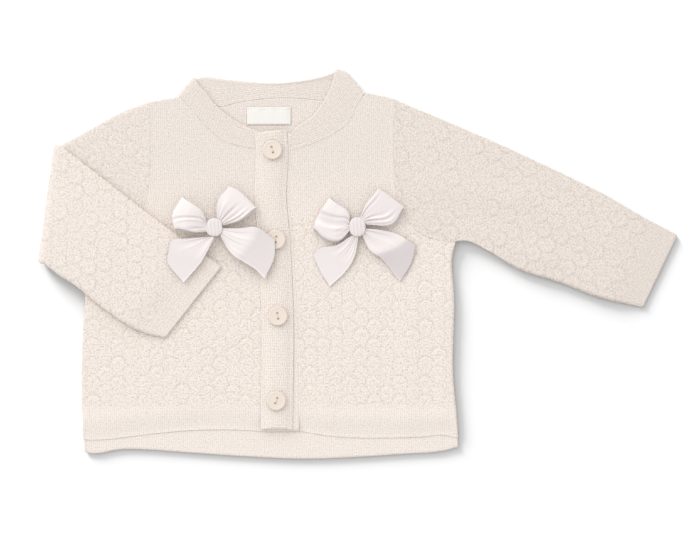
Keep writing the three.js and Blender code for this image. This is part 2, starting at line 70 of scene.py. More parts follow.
# Corners of the body and sleeves
ARMPIT = [114.8, 17.5]
NECK_LEFT = [-56.9, 108.1]
NECK_RIGHT = [56.9, 109]
SHOULDER_LEFT = [-76.5, 105]
SHOULDER_RIGHT = [76.5, 106.8]
SHOULDER_LINE_RIGHT = [[58.8, 110.1], [64, 109.6]]
CUFF_TOP = [253.7, 21.9]
CUFF_LOW = [231.9, -23.7]
ELBOW_TOP = np.array([-131.9, 78])
ELBOW_LOW = np.array([-141.9, 3.5])
FOLDED_CUFF_TOP = [-31.2, 2.5]
FOLDED_CUFF_LOW = [-66.9, -42.5]
FOLD_AXIS_HEIGHT = 4.45
SLEEVE_HALF_HEIGHT = 2.15
LINING_RADIUS = 0.15
TUBE_TURN = 7
RIGHT_SLEEVE_TURN = math.atan2(-60.9, 147.2)
LEFT_SLEEVE_TURN = math.radians(202.5)
SLEEVE_LENGTH = 160.0
UPPER_ARM = 50.0
FOREARM = 106.0
BAND_LENGTH = 187.0
BAND_STEP = 0.55
NECKBAND_WIDTH = 13.5
NECKBAND_HALF_HEIGHT = 2.15
NECKBAND_FRONT = 58.0
NECKBAND_BACK = 104.0

# Seams and edges, each from the hem or the band outwards
SIDE_SEAM_LEFT = [[118.4, -92], [118.9, -62], [117, -19], [115.4, 6]]
SIDE_SEAM_RIGHT = [[115.6, -92], [113.2, -62], [114, -19], [112.6, 6]]
ARMHOLE = [ARMPIT, [104, 18.8], [92.5, 23], [83, 33], [77.4, 50], [76, 75]]
ARMPIT_SHARE = 0.56
NECK_SHARE = 0.8
BACK_NECK_SHARES = [0.13, 0.87]
UNDER_BAND_MIDDLE = [
    [7, -101], [6.6, -81], [6.2, -50], [5.4, -19], [3, 18], [1.2, 44], [1.5, 75], [2, 86],
]
UPPER_BAND_MIDDLE = [
    [2.8, -99.5], [3, -81], [3.4, -44], [3, -19], [1.2, 19], [-1, 44], [0, 75], [-1, 87],
]
UNDER_BAND_NECK = 0.941
BAND_HALF = 10.0
NECK_SEAM_LEFT = [[-29.4, 80.6], [-41.9, 90.6], [-51.2, 101.2], NECK_LEFT]
NECK_SEAM_RIGHT = [[23.7, 78.4], [35, 83.3], [45, 89.6], [49.6, 95], [53.1, 103], NECK_RIGHT]
NECK_SEAM_BACK = [
    NECK_LEFT, [-46, 104], [-34.4, 101.9], [-20, 105], [-1.2, 107.4], [17.5, 107.4],
    [31.2, 106.2], NECK_RIGHT,
]
NECK_EDGE_LEFT = [[-20, 91.8], [-33.7, 101.9], [-41.9, 112], [-44.5, 114.4], [-47.5, 119.4]]
NECK_EDGE_RIGHT = [[15, 89.3], [25, 96.2], [31.2, 104.4], [36.2, 113.7], [39.4, 124]]
NECK_EDGE_BACK = [
    [-47.5, 119.4], [-43.1, 120.6], [-20, 118.1], [5, 116.9], [30, 120.6], [39.4, 124],
]
NECK_FOLD_RIGHT = [[50.6, 116.2], [45.6, 121.9]]
FRONT_CORNER_LEFT = [118.1, -106]
FRONT_CORNER_RIGHT = [116.3, -105]
BACK_CORNER_LEFT = [116.9, -114]
BACK_CORNER_RIGHT = [116.2, -110.8]
FRONT_HEM_LEFT = [[-107, -106.2], [-70, -101.9], [-45, -100], [-20, -100]]
FRONT_HEM_RIGHT = [[42.5, -104.4], [92.5, -104.4], [106, -103.1]]
BACK_HEM_LINE = [
    [-110, -114.8], [-95, -112.2], [-75, -112.5], [-57.5, -113.8], [-20, -116.4],
    [17.5, -118.1], [48.7, -117.2], [80, -115.2], [105, -113.4],
]
HEM_BAND_TOP = -86.2
YOKE_LINE = 34.0
CUFF_BAND = 15.6

# Soft ridges, as rows of x1, y1, x2, y2, half width, height
RIGHT_BODY_FOLDS = [
    [88, -20, 86, -94, 8, 0.45], [106, -14, 106, -92, 6, 0.4], [30, -78, 36, -94, 5, 0.4],
]
RIGHT_SLEEVE_FOLDS = [
    [102, 52, 155, 44, 9, 0.5], [155, 44, 205, 16, 9, 0.5], [125, 24, 170, 8, 8, 0.5],
    [170, 8, 212, -8, 8, 0.5],
]
FOREARM_FOLDS = [[-126, 36, -76, -12, 13, 0.8], [-112, 0, -88, -22, 9, 0.4]]

# Buttons as x, y and turn, their profile as share, radius and height, and the label
BUTTON_PLACES = [(0.3, 75, 0.3), (2.5, 19, -0.2), (3.7, -28.7, 0.15), (2.8, -81.6, -0.35)]
BUTTON_PROFILE = [
    (0, 0, 1.56), (0.50, 3.7, 1.57), (0.60, 4.3, 1.61), (0.70, 4.75, 1.69), (0.78, 5.1, 1.74),
    (0.86, 5.45, 1.72), (0.92, 5.75, 1.62), (0.96, 5.92, 1.45), (0.985, 6.0, 1.2), (1, 6.0, 0.9),
]
HOLE_OFFSET = 1.7
LABEL_SIZE = [27.5, 11]
LABEL_CENTRE = [-2, 96.4]

# Bows. A ribbon end runs from its root at the knot to its far edge, between two selvages.
# A loop's shade is the even painted shade of its face. A crease row gives its place at the knot and
# at the far edge, reach, depth and half width; depth sinks the ribbon and paints shade in a valley,
# or a highlight on a ridge where it is below 0. A tail's bend gives its place, lean and lift, and
# the painted shade before the bend, in a band along it and beyond it.
BOWS = {
    "bow_left": {
        "knot": [-35.9, 26.3],
        "cap": [5.1, 6.0, 5.3],
        "loop_1": dict(
            root=[[-40.75, 29], [-40.75, 23.8]], far=[[-55.6, 46.2], [-62.2, 34], [-60.6, 25]],
            sides=[[[-43.2, 36.5], [-49, 42]], [[-50, 23.4]]], heights=[7.4, 9.5],
            creases=[
                (0.1, 0.74, 1.4, 0.9, 0.03), (0.25, 0.82, 1.3, -0.7, 0.03),
                (0.62, 1.15, 0.8, 0.9, 0.055), (0.8, 0.95, 0.45, -0.8, 0.06),
                (1, 1, 1.5, 0.6, 0.03),
            ],
            shade=0.03,
        ),
        "loop_2": dict(
            root=[[-34.25, 32.15], [-29.95, 27.85]],
            far=[[-27.6, 52.3], [-21.5, 50.2], [-9.2, 38.6]],
            sides=[[[-34.6, 39], [-33, 46]], [[-17, 31.8]]], heights=[6.8, 7],
            creases=[
                (0.48, 0.62, 0.9, 1, 0.035), (0.3, 0.2, 0.9, -0.6, 0.06),
                (0.7, 0.78, 0.9, 0.6, 0.03), (0.79, 0.86, 1, -0.8, 0.025),
                (0.86, 0.92, 0.9, 0.6, 0.025), (0.93, 0.97, 1.1, -0.6, 0.025),
            ],
            shade=0.22,
        ),
        "tail_1": dict(
            root=[[-40.2, 20.5], [-36, 20.3]], far=[[-65, 9], [-64.8, 4.4], [-55, -8.1]],
            sides=[[[-52, 19.6], [-62, 18.4]], [[-40, 12], [-44.4, 4.4]]], heights=[9.4, 9.7],
            bend=(0.55, 0.1, 0.5, 0.25, 0.0, 0.28),
        ),
        "tail_2": dict(
            root=[[-30.2, 25.5], [-31.2, 20.5]], far=[[1.9, 18.8], [1.6, 8], [-4.4, -5.6]],
            sides=[[[-20, 26], [-9.4, 26.5]], [[-25, 10], [-10.6, 0.6]]], heights=[8.4, 9.6],
            pull=0.9,
            bend=(0.56, 0.1, 0.8, 0.18, 0.25, 0.55),
        ),
    },
    "bow_right": {
        "knot": [53.4, 26.9],
        "cap": [5.1, 6.0, 6.0],
        "loop_1": dict(
            root=[[48.55, 29.6], [48.55, 24.4]], far=[[36.2, 46], [28, 33], [25.6, 25.5]],
            sides=[[[48, 36], [43, 41.2]], [[42, 18], [32.5, 18.6]]], heights=[6.6, 4.7],
            creases=[
                (0.1, 0.5, 1.4, 0.9, 0.035), (0.3, 0.64, 1.3, 0.5, 0.07),
                (0.45, 0.82, 1.3, -0.8, 0.045), (0.25, 1.3, 0.6, 0.8, 0.03),
                (0.6, 1.25, 0.5, 0.6, 0.03), (1, 1, 1.5, 0.7, 0.03),
            ],
            shade=0.25,
        ),
        "loop_2": dict(
            root=[[55.05, 32.85], [59.35, 28.45]],
            far=[[65.8, 51.6], [72, 47.6], [83, 39.2]],
            sides=[[[60, 44]], [[76.5, 28.6]]], heights=[6.6, 4.7],
            creases=[
                (0.12, 0.15, 1.1, 0.6, 0.02), (0.04, 0.05, 1.1, -0.5, 0.025),
                (0.5, 0.84, 0.95, -0.9, 0.03), (0.6, 0.91, 0.9, 0.6, 0.025),
                (0.75, 0.97, 0.9, -0.8, 0.03), (0.38, 0.72, 0.8, 0.6, 0.03),
            ],
            shade=0.42,
        ),
        "tail_1": dict(
            root=[[49.6, 21.1], [54, 21.1]], far=[[25.6, 9.5], [30.5, -1.5], [36.2, -10.4]],
            sides=[[[40, 15.4], [31, 13.9]], [[51.5, 8], [46, -1]]], heights=[7, 4.7],
            pull=0.4,
            bend=(0.6, 0.1, 0.5, 0.18, 0.0, 0.25),
        ),
        "tail_2": dict(
            root=[[59.1, 25.4], [57, 21.2]], far=[[89.8, 15.4], [87.4, 5], [80, -7.4]],
            sides=[[[68, 25], [78, 22.6]], [[61, 12.6], [69, 6.5]]], heights=[7, 4.7],
            pull=0.8,
            bend=(0.6, 0.2, 1.2, 0.12, 0.1, 1),
        ),
    },
}
RIBBON_WIDTH = 25
LOOP_LENGTH = 62
TAIL_LENGTH = 42
KNOT_FOOT = [4.3, 5.2]
KNOT_RISE = 2.35
SATIN_PITCH = 0.45
TAIL_CREASES = [
    (0.2, 0.15, 0.7, 0.7, 0.035), (0.38, 0.34, 0.8, -0.6, 0.04), (0.6, 0.55, 0.6, 0.6, 0.035),
    (0.82, 0.86, 0.7, -0.6, 0.04),
]
LOOP_HEIGHT = 5.6
LOOP_PROFILE = [
    [0, 0], [0.35, 0], [0.7, 0], [0.92, 0.1], [0.99, 0.28], [1, 0.45], [0.985, 0.6],
    [0.92, 0.74], [0.72, 0.85], [0.45, 0.8], [0.2, 0.55], [0, 0.36],
]

# Stage, in metres
FLOOR_HALF = 2.5
FLOOR_HEIGHT = -0.0002
KEY_PLACE = Vector((-1.3, 2.0, 1.9))
KEY_AIM = Vector((0.04, 0.0, 0.0))
KEY_SIZE = 2.6
LOW_WAY = (0.58, -0.79, -0.27)
LOW_SPREAD = math.radians(22)
SENSOR = 36
CLOTH_FACE = 0.004
CAMERA_PLACE = (0.04875, -0.00625)


# Paths and surfaces


def smooth_path(points):
    """Centripetal Catmull-Rom curve through the points, read by the share of its length."""
    knots = np.asarray(points, float)
    knots = np.vstack([2 * knots[0] - knots[1], knots, 2 * knots[-1] - knots[-2]])
    before, start, end, after = knots[:-3], knots[1:-2], knots[2:-1], knots[3:]

    def pace(a, b):
        return np.sqrt(np.linalg.norm(b - a, axis=1))[:, None]

    d0, d1, d2 = pace(before, start), pace(start, end), pace(end, after)
    leave = ((start - before) / d0 - (end - before) / (d0 + d1) + (end - start) / d1) * d1
    arrive = ((end - start) / d1 - (after - start) / (d1 + d2) + (after - end) / d2) * d1
    s = np.linspace(0, 1, 81)[:, None, None]
    dense = (2 * s**3 - 3 * s**2 + 1) * start + (s**3 - 2 * s**2 + s) * leave
    dense = dense + (3 * s**2 - 2 * s**3) * end + (s**3 - s**2) * arrive
    rows = dense[:-1].transpose(1, 0, 2).reshape(-1, knots.shape[1])
    dense = np.concatenate([rows, dense[-1, -1:]])
    share = np.concatenate([[0], np.cumsum(np.linalg.norm(np.diff(dense, axis=0), axis=1))])
    share /= share[-1]

    def at(t):
        return np.stack([np.interp(t, share, column) for column in dense.T], -1)

    return at


def straight_path(start, end):
    """The straight line from start to end."""
    start, end = np.asarray(start, float), np.asarray(end, float)
    return lambda t: start + (end - start) * np.asarray(t, float)[..., None]


def between(left, right, share):
    """The straight line from one edge to the other, at a share of their lengths."""
    return straight_path(left(share), right(share))


def joined_path(start, middle, end):
    """A smooth curve from one point through the middle points to another."""
    return smooth_path([start, *middle, end])


def shifted_path(path, distance):
    """The path moved to the left of its direction by a distance."""

    def at(t):
        t = np.asarray(t, float)
        run = path(np.minimum(t + 0.004, 1)) - path(np.maximum(t - 0.004, 0))
        run = run / np.linalg.norm(run, axis=-1, keepdims=True)
        return path(t) + distance * np.stack([-run[..., 1], run[..., 0]], -1)

    return at


def chained_path(*parts):
    """Paths end to end, as pairs of the share where a path ends and the path."""

    def at(t):
        t = np.asarray(t, float)
        start, first = parts[0]
        points = first(np.clip(t / start, 0, 1))
        for end, path in parts[1:]:
            here = path(np.clip((t - start) / (end - start), 0, 1))
            points = np.where((t > start)[..., None], here, points)
            start = end
        return points

    return at


def reversed_path(path):
    """The same path walked the other way."""
    return lambda t: path(1 - np.asarray(t, float))


def span(left, right, low, high):
    """The surface between four edges: both straight blends of opposite edges, less the
    blend of the corners. u runs across and v runs up."""

    def at(u, v):
        u, v = np.broadcast_arrays(np.asarray(u, float), np.asarray(v, float))
        a, b = u[..., None], v[..., None]
        across = left(v) * (1 - a) + right(v) * a
        up = low(u) * (1 - b) + high(u) * b
        low_corners = low(0.0) * (1 - a) + low(1.0) * a
        high_corners = high(0.0) * (1 - a) + high(1.0) * a
        return across + up - low_corners * (1 - b) - high_corners * b

    return at


def graded(length, count):
    """Shares from 0 to 1: close together over the rounded ends, even between them.

    length may be one number or a column of lengths, which gives a row of shares for each."""
    margin = np.array([0, 0.1, 0.35, 0.8, 1.4])
    length = np.atleast_1d(np.asarray(length, float))[:, None]
    ends = margin / length
    inner = ends[:, -1:] + (1 - 2 * ends[:, -1:]) * np.arange(1, count) / count
    return np.concatenate([ends, inner, 1 - ends[:, ::-1]], axis=1)


def edge_drop(distance, width=EDGE_ROUND, depth=None):
    """How far a rounded edge lies below the face, at a distance inside the outline: a
    quarter of an ellipse that is width wide and depth deep."""
    depth = width if depth is None else depth
    share = 1 - np.clip(distance / width, 0, 1)
    return depth * (1 - np.sqrt(1 - share**2))


def sewn_drop(distance):
    """How far cloth lies below its face at a distance from a sewn edge: a small valley."""
    return edge_drop(distance, 1.3, 0.15)


def deepest(*drops):
    """The greatest of several drops, place by place."""
    return functools.reduce(np.maximum, drops)


def nearest(*distances):
    """The least of several distances, place by place."""
    return functools.reduce(np.minimum, distances)


def swell(folds, x, y):
    """Height of soft ridges: the sum of height times exp(-(distance / half width) squared)."""
    total = np.zeros_like(x)
    for x1, y1, x2, y2, half_width, height in folds:
        run = np.array([x2 - x1, y2 - y1], float)
        along = ((x - x1) * run[0] + (y - y1) * run[1]) / (run @ run)
        along = np.clip(along, 0, 1)
        distance = np.hypot(x - x1 - along * run[0], y - y1 - along * run[1])
        total += height * bell(distance, half_width)
    return total


def soft_step(low, high, value):
    """0 below low, 1 above high, and a smooth 3t^2 - 2t^3 between."""
    t = np.clip((value - low) / (high - low), 0, 1)
    return t * t * (3 - 2 * t)


def bell(distance, half_width=1.0):
    """exp(-(distance / half width) squared): 1 on a line, fading softly on both sides."""
    return np.exp(-((distance / half_width) ** 2))


def unevenness(x, y, size):
    """Slow hollows of hand-laid cloth, from 0 down to -size: a mean of four crossed sines."""
    waves = np.sin(x / 19 + 1.3 * np.sin(y / 31)) + np.sin(y / 23 - 0.9 * np.sin(x / 27) + 1)
    waves += np.sin((x + y) / 13 + 2.1) + np.sin((x - 1.4 * y) / 17 + 0.4)
    return size * (waves / 8 - 0.5)


def scatter(cell_x, cell_y, seed):
    """A fixed number from 0 to 1 for each whole cell, from the fraction of a large sine."""
    value = np.sin(cell_x * 127.1 + cell_y * 311.7 + seed * 74.7) * 43758.5453
    return value - np.floor(value)


def pattern_stitch(x, y, knit):
    """Relief and painted shade of the pattern stitch, at x across and y along the knitting.

    Small arches stand in rows, each row half a repeat beside the last. An arch is a bell
    over the distance from a circle, bent over a bell-shaped dimple, and a groove follows
    a wider circle round its top, with a low rib across it at the crown."""
    width, pitch = knit.repeat_width / MM, knit.row_pitch / MM
    relief, painted_shade = np.zeros_like(x), np.zeros_like(x)
    for near in (-1, 0, 1):
        row = np.floor(y / pitch + 0.5) + near
        shift = (row % 2) * width / 2
        column = np.floor((x - shift) / width + 0.5)
        dx = x - shift - column * width - 0.8 * (scatter(column, row, 1) - 0.5)
        dy = y - row * pitch - 0.6 * (scatter(column, row, 2) - 0.5)
        strength = 0.5 + scatter(column, row, 3)
        arch = bell(np.hypot(dx, dy) - 3.0, 1.1) * soft_step(-0.9, 1.2, dy)
        groove = bell(np.hypot(dx, dy - 0.2) - 4.85, 0.7) * soft_step(-0.8, 1.6, dy)
        groove = groove * (1 - 0.6 * bell(dx, 0.8))
        dimple = bell(dx, 1.2) * bell(dy, 0.85)
        relief += strength * (0.35 * arch - 0.8 * groove - 0.5 * dimple)
        # Painted shade in the grooves and dimples, and a painted highlight on the arches.
        painted_shade += strength * (groove + 0.6 * dimple - 0.3 * arch)
    return relief - 0.2, painted_shade


def knit_relief(u, v, patterned, knit):
    """Relief in millimetres and painted shade of the knitting, where patterned is 1 in the pattern
    zones and 0 in the plain ones, which lie a little lower."""
    relief, painted_shade = pattern_stitch(u, v, knit)
    return knit.relief / MM * (patterned * relief - 0.12), patterned * painted_shade


# Meshes


def shell_faces(rows, columns, closed):
    """Quads of two matching grids and of the rims between them. A closed grid joins up
    sideways, from its last column to its first."""
    index = np.arange(rows * columns).reshape(rows, columns)
    rims = [index[0, ::-1], index[-1], index[:, 0], index[::-1, -1]]
    if closed:
        index = np.hstack([index, index[:, :1]])
        rims = [index[0, ::-1], index[-1]]
    far = rows * columns
    quads = [index[:-1, :-1], index[:-1, 1:], index[1:, 1:], index[1:, :-1]]
    quads = np.stack(quads, -1).reshape(-1, 4)
    faces = [quads, quads[:, [0, 3, 2, 1]] + far]
    for rim in rims:
        faces.append(np.stack([rim[:-1], rim[1:], rim[1:] + far, rim[:-1] + far], -1))
    return np.concatenate(faces)


def hung(name, data):
    """A new object at the origin, linked into the scene."""
    piece = bpy.data.objects.new(name, data)
    bpy.context.scene.collection.objects.link(piece)
    return piece


def cloth_object(name, outer, inner, uv, painted_shade=None, tint=None, lace=None, closed=False):
    """A closed body between two grids of points in millimetres, with faces outwards.

    uv is the grid's flat place in the cloth, in millimetres. painted_shade, tint and lace are
    numbers that the finish reads: painted shade (painted highlight where it is below 0), a darker
    tone towards the collar and over the sleeves and the bands, and the pattern stitch."""
    rows, columns = outer.shape[:2]
    points = np.concatenate([outer.reshape(-1, 3), inner.reshape(-1, 3)]) * MM
    faces = shell_faces(rows, columns, closed)
    a, b, c, d = (points[faces[:, k]] for k in range(4))
    volume = np.einsum("ij,ij->", a, np.cross(b, c)) + np.einsum("ij,ij->", a, np.cross(c, d))
    if volume < 0:
        faces = faces[:, ::-1]
    mesh = bpy.data.meshes.new(name)
    mesh.vertices.add(len(points))
    mesh.vertices.foreach_set("co", points.astype(np.float32).ravel())
    mesh.loops.add(faces.size)
    mesh.loops.foreach_set("vertex_index", faces.astype(np.int32).ravel())
    mesh.polygons.add(len(faces))
    mesh.polygons.foreach_set("loop_start", np.arange(0, faces.size, 4, dtype=np.int32))
    mesh.polygons.foreach_set("use_smooth", np.ones(len(faces), bool))
    flat = np.concatenate([uv.reshape(-1, 2)] * 2)[faces.ravel()]
    mesh.uv_layers.new(name="Flat").uv.foreach_set("vector", flat.astype(np.float32).ravel())
    for label, values in (("painted_shade", painted_shade), ("tint", tint), ("lace", lace)):
        grid = np.zeros((rows, columns)) if values is None else values
        layer = mesh.attributes.new(label, "FLOAT", "POINT")
        spread = np.concatenate([grid.ravel(), grid.ravel()])
        layer.data.foreach_set("value", spread.astype(np.float32))
    mesh.update(calc_edges=True)
    piece = hung(name, mesh)
    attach(piece, "root")
    return piece


def stacked(points, height):
    """Flat points with their heights."""
    return np.concatenate([points, np.broadcast_to(height, points.shape[:-1])[..., None]], -1)


# Body


def armhole(side, shoulder):
    """The curve that a sleeve is sewn to, from the armpit up to the shoulder."""
    return smooth_path([[side * x, y] for x, y in ARMHOLE] + [shoulder])


def outer_edge(side, hem_corner, shoulder):
    """The outer edge of a panel, from the corner of its hem to its shoulder."""
    side_seam = SIDE_SEAM_LEFT if side < 0 else SIDE_SEAM_RIGHT
    seam = smooth_path([[side * x, y] for x, y in [hem_corner, *side_seam, ARMPIT]])
    path = chained_path((ARMPIT_SHARE, seam), (1, armhole(side, shoulder)))
    return shifted_path(path, side * SEAM_INSET)


def beside_band(side):
    """The line where a front meets the button band."""
    return shifted_path(smooth_path(UNDER_BAND_MIDDLE), -side * (BAND_HALF + SEAM_INSET))


def front_neck_seam(side):
    """The seam between a front and the neckband, from the button band to the shoulder."""
    start = beside_band(side)(UNDER_BAND_NECK)
    return smooth_path([start, *(NECK_SEAM_LEFT if side < 0 else NECK_SEAM_RIGHT)])


def front_outline(side, hem, hem_corner, shoulder):
    """The four edges of a front: left, right, hem and shoulder."""
    outer = outer_edge(side, hem_corner, shoulder)
    opening = beside_band(side)
    neckline = shifted_path(front_neck_seam(side), -side * SEAM_INSET)
    inner = chained_path((NECK_SHARE, lambda t: opening(t * UNDER_BAND_NECK)), (1, neckline))
    left, right = (outer, inner) if side < 0 else (inner, outer)
    low = joined_path(left(0.0), hem, right(0.0))
    shoulder_line = [] if side < 0 else SHOULDER_LINE_RIGHT
    return left, right, low, joined_path(left(1.0), shoulder_line, right(1.0))


def back_outline():
    """The four edges of the back: left, right, hem, and shoulders with the neckline."""
    left = outer_edge(-1, BACK_CORNER_LEFT, SHOULDER_LEFT)
    right = outer_edge(1, BACK_CORNER_RIGHT, SHOULDER_RIGHT)
    seam = shifted_path(smooth_path(NECK_SEAM_BACK), -SEAM_INSET)
    high = chained_path(
        (BACK_NECK_SHARES[0], straight_path(left(1.0), seam(0.0))),
        (BACK_NECK_SHARES[1], seam),
        (1, joined_path(seam(1.0), SHOULDER_LINE_RIGHT, right(1.0))),
    )
    return left, right, joined_path(left(0.0), BACK_HEM_LINE, right(0.0)), high


def panel_grid(outline, step):
    """Points of a panel on a grid of about one step, each point's share of the height, and
    its distance inside the left, the right, the hem and the top."""
    surface = span(*outline)
    height = np.linalg.norm(surface(0.5, 0.0) - surface(0.5, 1.0))
    v = graded(height, int(height / step))[0]
    width = np.linalg.norm(surface(0.0, v) - surface(1.0, v), axis=-1)
    u = graded(width, int(width.max() / step))
    points = surface(u, v[:, None])
    v = v[:, None] + 0 * u
    inside = [u * width[:, None], (1 - u) * width[:, None], v * height, (1 - v) * height]
    return points, v, inside


def panel_drop(side, v, left, right, hem, top):
    """How far a front's edges lie below its face, and the least distances inside all its
    edges and inside its free ones.

    The hem and the side seam are round, and the sewn edges have only a small valley."""
    outer, inner = (left, right) if side < 0 else (right, left)
    past = soft_step(ARMPIT_SHARE - 0.03, ARMPIT_SHARE, v)
    side_drop = edge_drop(outer, 2.2, 1.8) * (1 - past) + sewn_drop(outer) * past
    hem_drop = 1.75 * (1 - soft_step(-1.5, 14, hem))
    drop = deepest(side_drop, sewn_drop(inner), hem_drop, edge_drop(top, 1.6, 0.7))
    free = nearest(np.where(v < ARMPIT_SHARE, outer, FAR), hem + 1.3, top)
    return drop, nearest(left, right, hem, top), free


def edge_shade(distance):
    """Extra painted shade close to a free edge, where the yarn turns under into shade."""
    return 0.8 * (1 - soft_step(0, 1.8, distance))


def zones(y):
    """From 0 to 1: the pattern stitch, the nearness to the yoke, and the plain hem band."""
    above_hem = soft_step(HEM_BAND_TOP, HEM_BAND_TOP + 3, y)
    patterned = above_hem * (1 - soft_step(YOKE_LINE - 3, YOKE_LINE, y))
    yoke = soft_step(YOKE_LINE - 10, YOKE_LINE + 45, y)
    return patterned, yoke, 1 - soft_step(HEM_BAND_TOP - 2, HEM_BAND_TOP + 3, y)


def front_panel(side, knit):
    """One front: its height is the layer's top, plus folds, less the rounded edges, plus
    the relief of the knitting and a shallow crease above the hem band."""
    if side < 0:
        node, folds = "front_left", []
        outline = front_outline(-1, FRONT_HEM_LEFT, FRONT_CORNER_LEFT, SHOULDER_LEFT)
    else:
        node, folds = "front_right", RIGHT_BODY_FOLDS
        outline = front_outline(1, FRONT_HEM_RIGHT, FRONT_CORNER_RIGHT, SHOULDER_RIGHT)
    points, v, distances = panel_grid(outline, knit.mesh_step / MM)
    x, y = points[..., 0], points[..., 1]
    drop, least, free = panel_drop(side, v, *distances)
    inside = soft_step(0, 2.5, least)
    patterned, yoke, hem_band = zones(y)
    relief, painted_shade = knit_relief(x, y, patterned, knit)
    crease = bell(y - HEM_BAND_TOP, 0.9)
    lift = swell(folds, x, y) - 0.22 * (1 - soft_step(0, 12, distances[2]))
    surface = inside * (relief - 0.08 * crease + unevenness(x, y, 0.3))
    top = FRONT_HIGH + lift - drop + surface
    # Painted shade in the crease above the hem band and along the free edges; the hem band is
    # painted lighter.
    painted_shade = painted_shade + 0.1 * crease + edge_shade(free) - 0.5 * hem_band
    piece = cloth_object(
        f"{node}_knit", stacked(points, top), stacked(points, FRONT_LOW + lift), points,
        painted_shade, yoke, patterned,
    )
    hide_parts(node)
    return piece


def back_panel(knit):
    """The back: knitting on both faces, its lower face rounded at the edges."""
    step = 1.5 * knit.mesh_step / MM
    points, _, (left, right, hem, top) = panel_grid(back_outline(), step)
    x, y = points[..., 0], points[..., 1]
    drop = edge_drop(nearest(left, right, hem, top))
    top_drop = deepest(edge_drop(hem, 1.2, 0.6), edge_drop(top, 0.8, 0.4))
    inside = soft_step(0, 2.5, nearest(left, right, hem, top))
    patterned, yoke, hem_band = zones(y)
    relief, painted_shade = knit_relief(x, y, patterned, knit)
    high = BACK_HIGH - top_drop + inside * (0.4 * relief + unevenness(x, y, 0.2))
    low = np.maximum(drop - inside * relief, 0)
    # Painted shade along the free edges; the hem band is painted lighter.
    painted_shade = painted_shade + edge_shade(nearest(left, right, hem)) - 0.45 * hem_band
    piece = cloth_object(
        "back_knit", stacked(points, high), stacked(points, low), points,
        painted_shade, np.maximum(yoke, 0.25), patterned,
    )
    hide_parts("back")
    return piece


# Sleeves


def tube_section(width, step):
    """The section of a flattened tube: a stadium walked over its top and back below.

    Returns the place of the section's core across each station, from the top edge, and the
    sine and cosine of the outward direction, for across and up."""
    run = np.linspace(0, 1, int(width.max() / step))
    angle = np.pi * np.arange(1, TUBE_TURN) / TUBE_TURN
    flat = SLEEVE_HALF_HEIGHT + (width[:, None] - 2 * SLEEVE_HALF_HEIGHT) * run
    far = np.repeat(flat[:, -1:], len(angle), axis=1)
    near = np.repeat(flat[:, :1], len(angle), axis=1)
    centre = np.concatenate([flat, far, flat[:, ::-1], near], axis=1)
    sine = np.concatenate([0 * run, np.sin(angle), 0 * run, -np.sin(angle)])
    cosine = np.concatenate([0 * run + 1, np.cos(angle), 0 * run - 1, -np.cos(angle)])
    return centre, sine, cosine


def sleeve_stations(top, low, seam, fade_at, along):
    """Start and end of each station, and how the armhole bows it: the seam's distance from
    its own chord, fading as the square of the way left."""
    chord = straight_path(seam(0.0), seam(1.0))

    def bend(w):
        fade = np.maximum(1 - along / fade_at, 0) ** 2
        return (seam(w) - chord(w)) * fade[:, None, None]

    return top(along), low(along), bend


def turned(points, angle):
    """Points turned by minus an angle, so that a sleeve's length runs along the second
    number, and its width along the first."""
    c, s = math.cos(angle), math.sin(angle)
    x, y = points[..., 0], points[..., 1]
    return np.stack([-s * x + c * y, c * x + s * y], -1)


def cuff_press(to_cuff):
    """How flat a sleeve lies towards its cuff: 1 from 32 mm on, and under half at the cuff."""
    return 1 - 0.62 * (1 - soft_step(-6, 32, to_cuff))


def sleeve_skin(flat, laid, to_cuff, to_seam, sine, knit):
    """The radius of a sleeve's tube, its painted shade and where it is patterned, from its flat
    place, the place that its unevenness follows, and the distances to the cuff and seam.

    The radius is half the height, less the rounded ends, plus the relief of the knitting."""
    patterned = soft_step(CUFF_BAND - 1, CUFF_BAND + 2, to_cuff)
    relief, painted_shade = knit_relief(flat[..., 0], flat[..., 1], patterned, knit)
    crease = bell(to_cuff - CUFF_BAND, 0.9)
    # Painted shade in the crease above the cuff band, at the cuff's edge and over the tube's
    # rounded sides.
    painted_shade = painted_shade + 0.15 * crease + edge_shade(to_cuff) + 1.3 * np.abs(sine)
    rim = deepest(edge_drop(to_cuff, 1.2), sewn_drop(to_seam))
    inside = soft_step(0, 2.5, nearest(to_cuff, to_seam))
    uneven = unevenness(laid[..., 0], laid[..., 1], 0.3)
    radius = SLEEVE_HALF_HEIGHT - rim + inside * (relief - 0.08 * crease + uneven)
    return radius, painted_shade, patterned


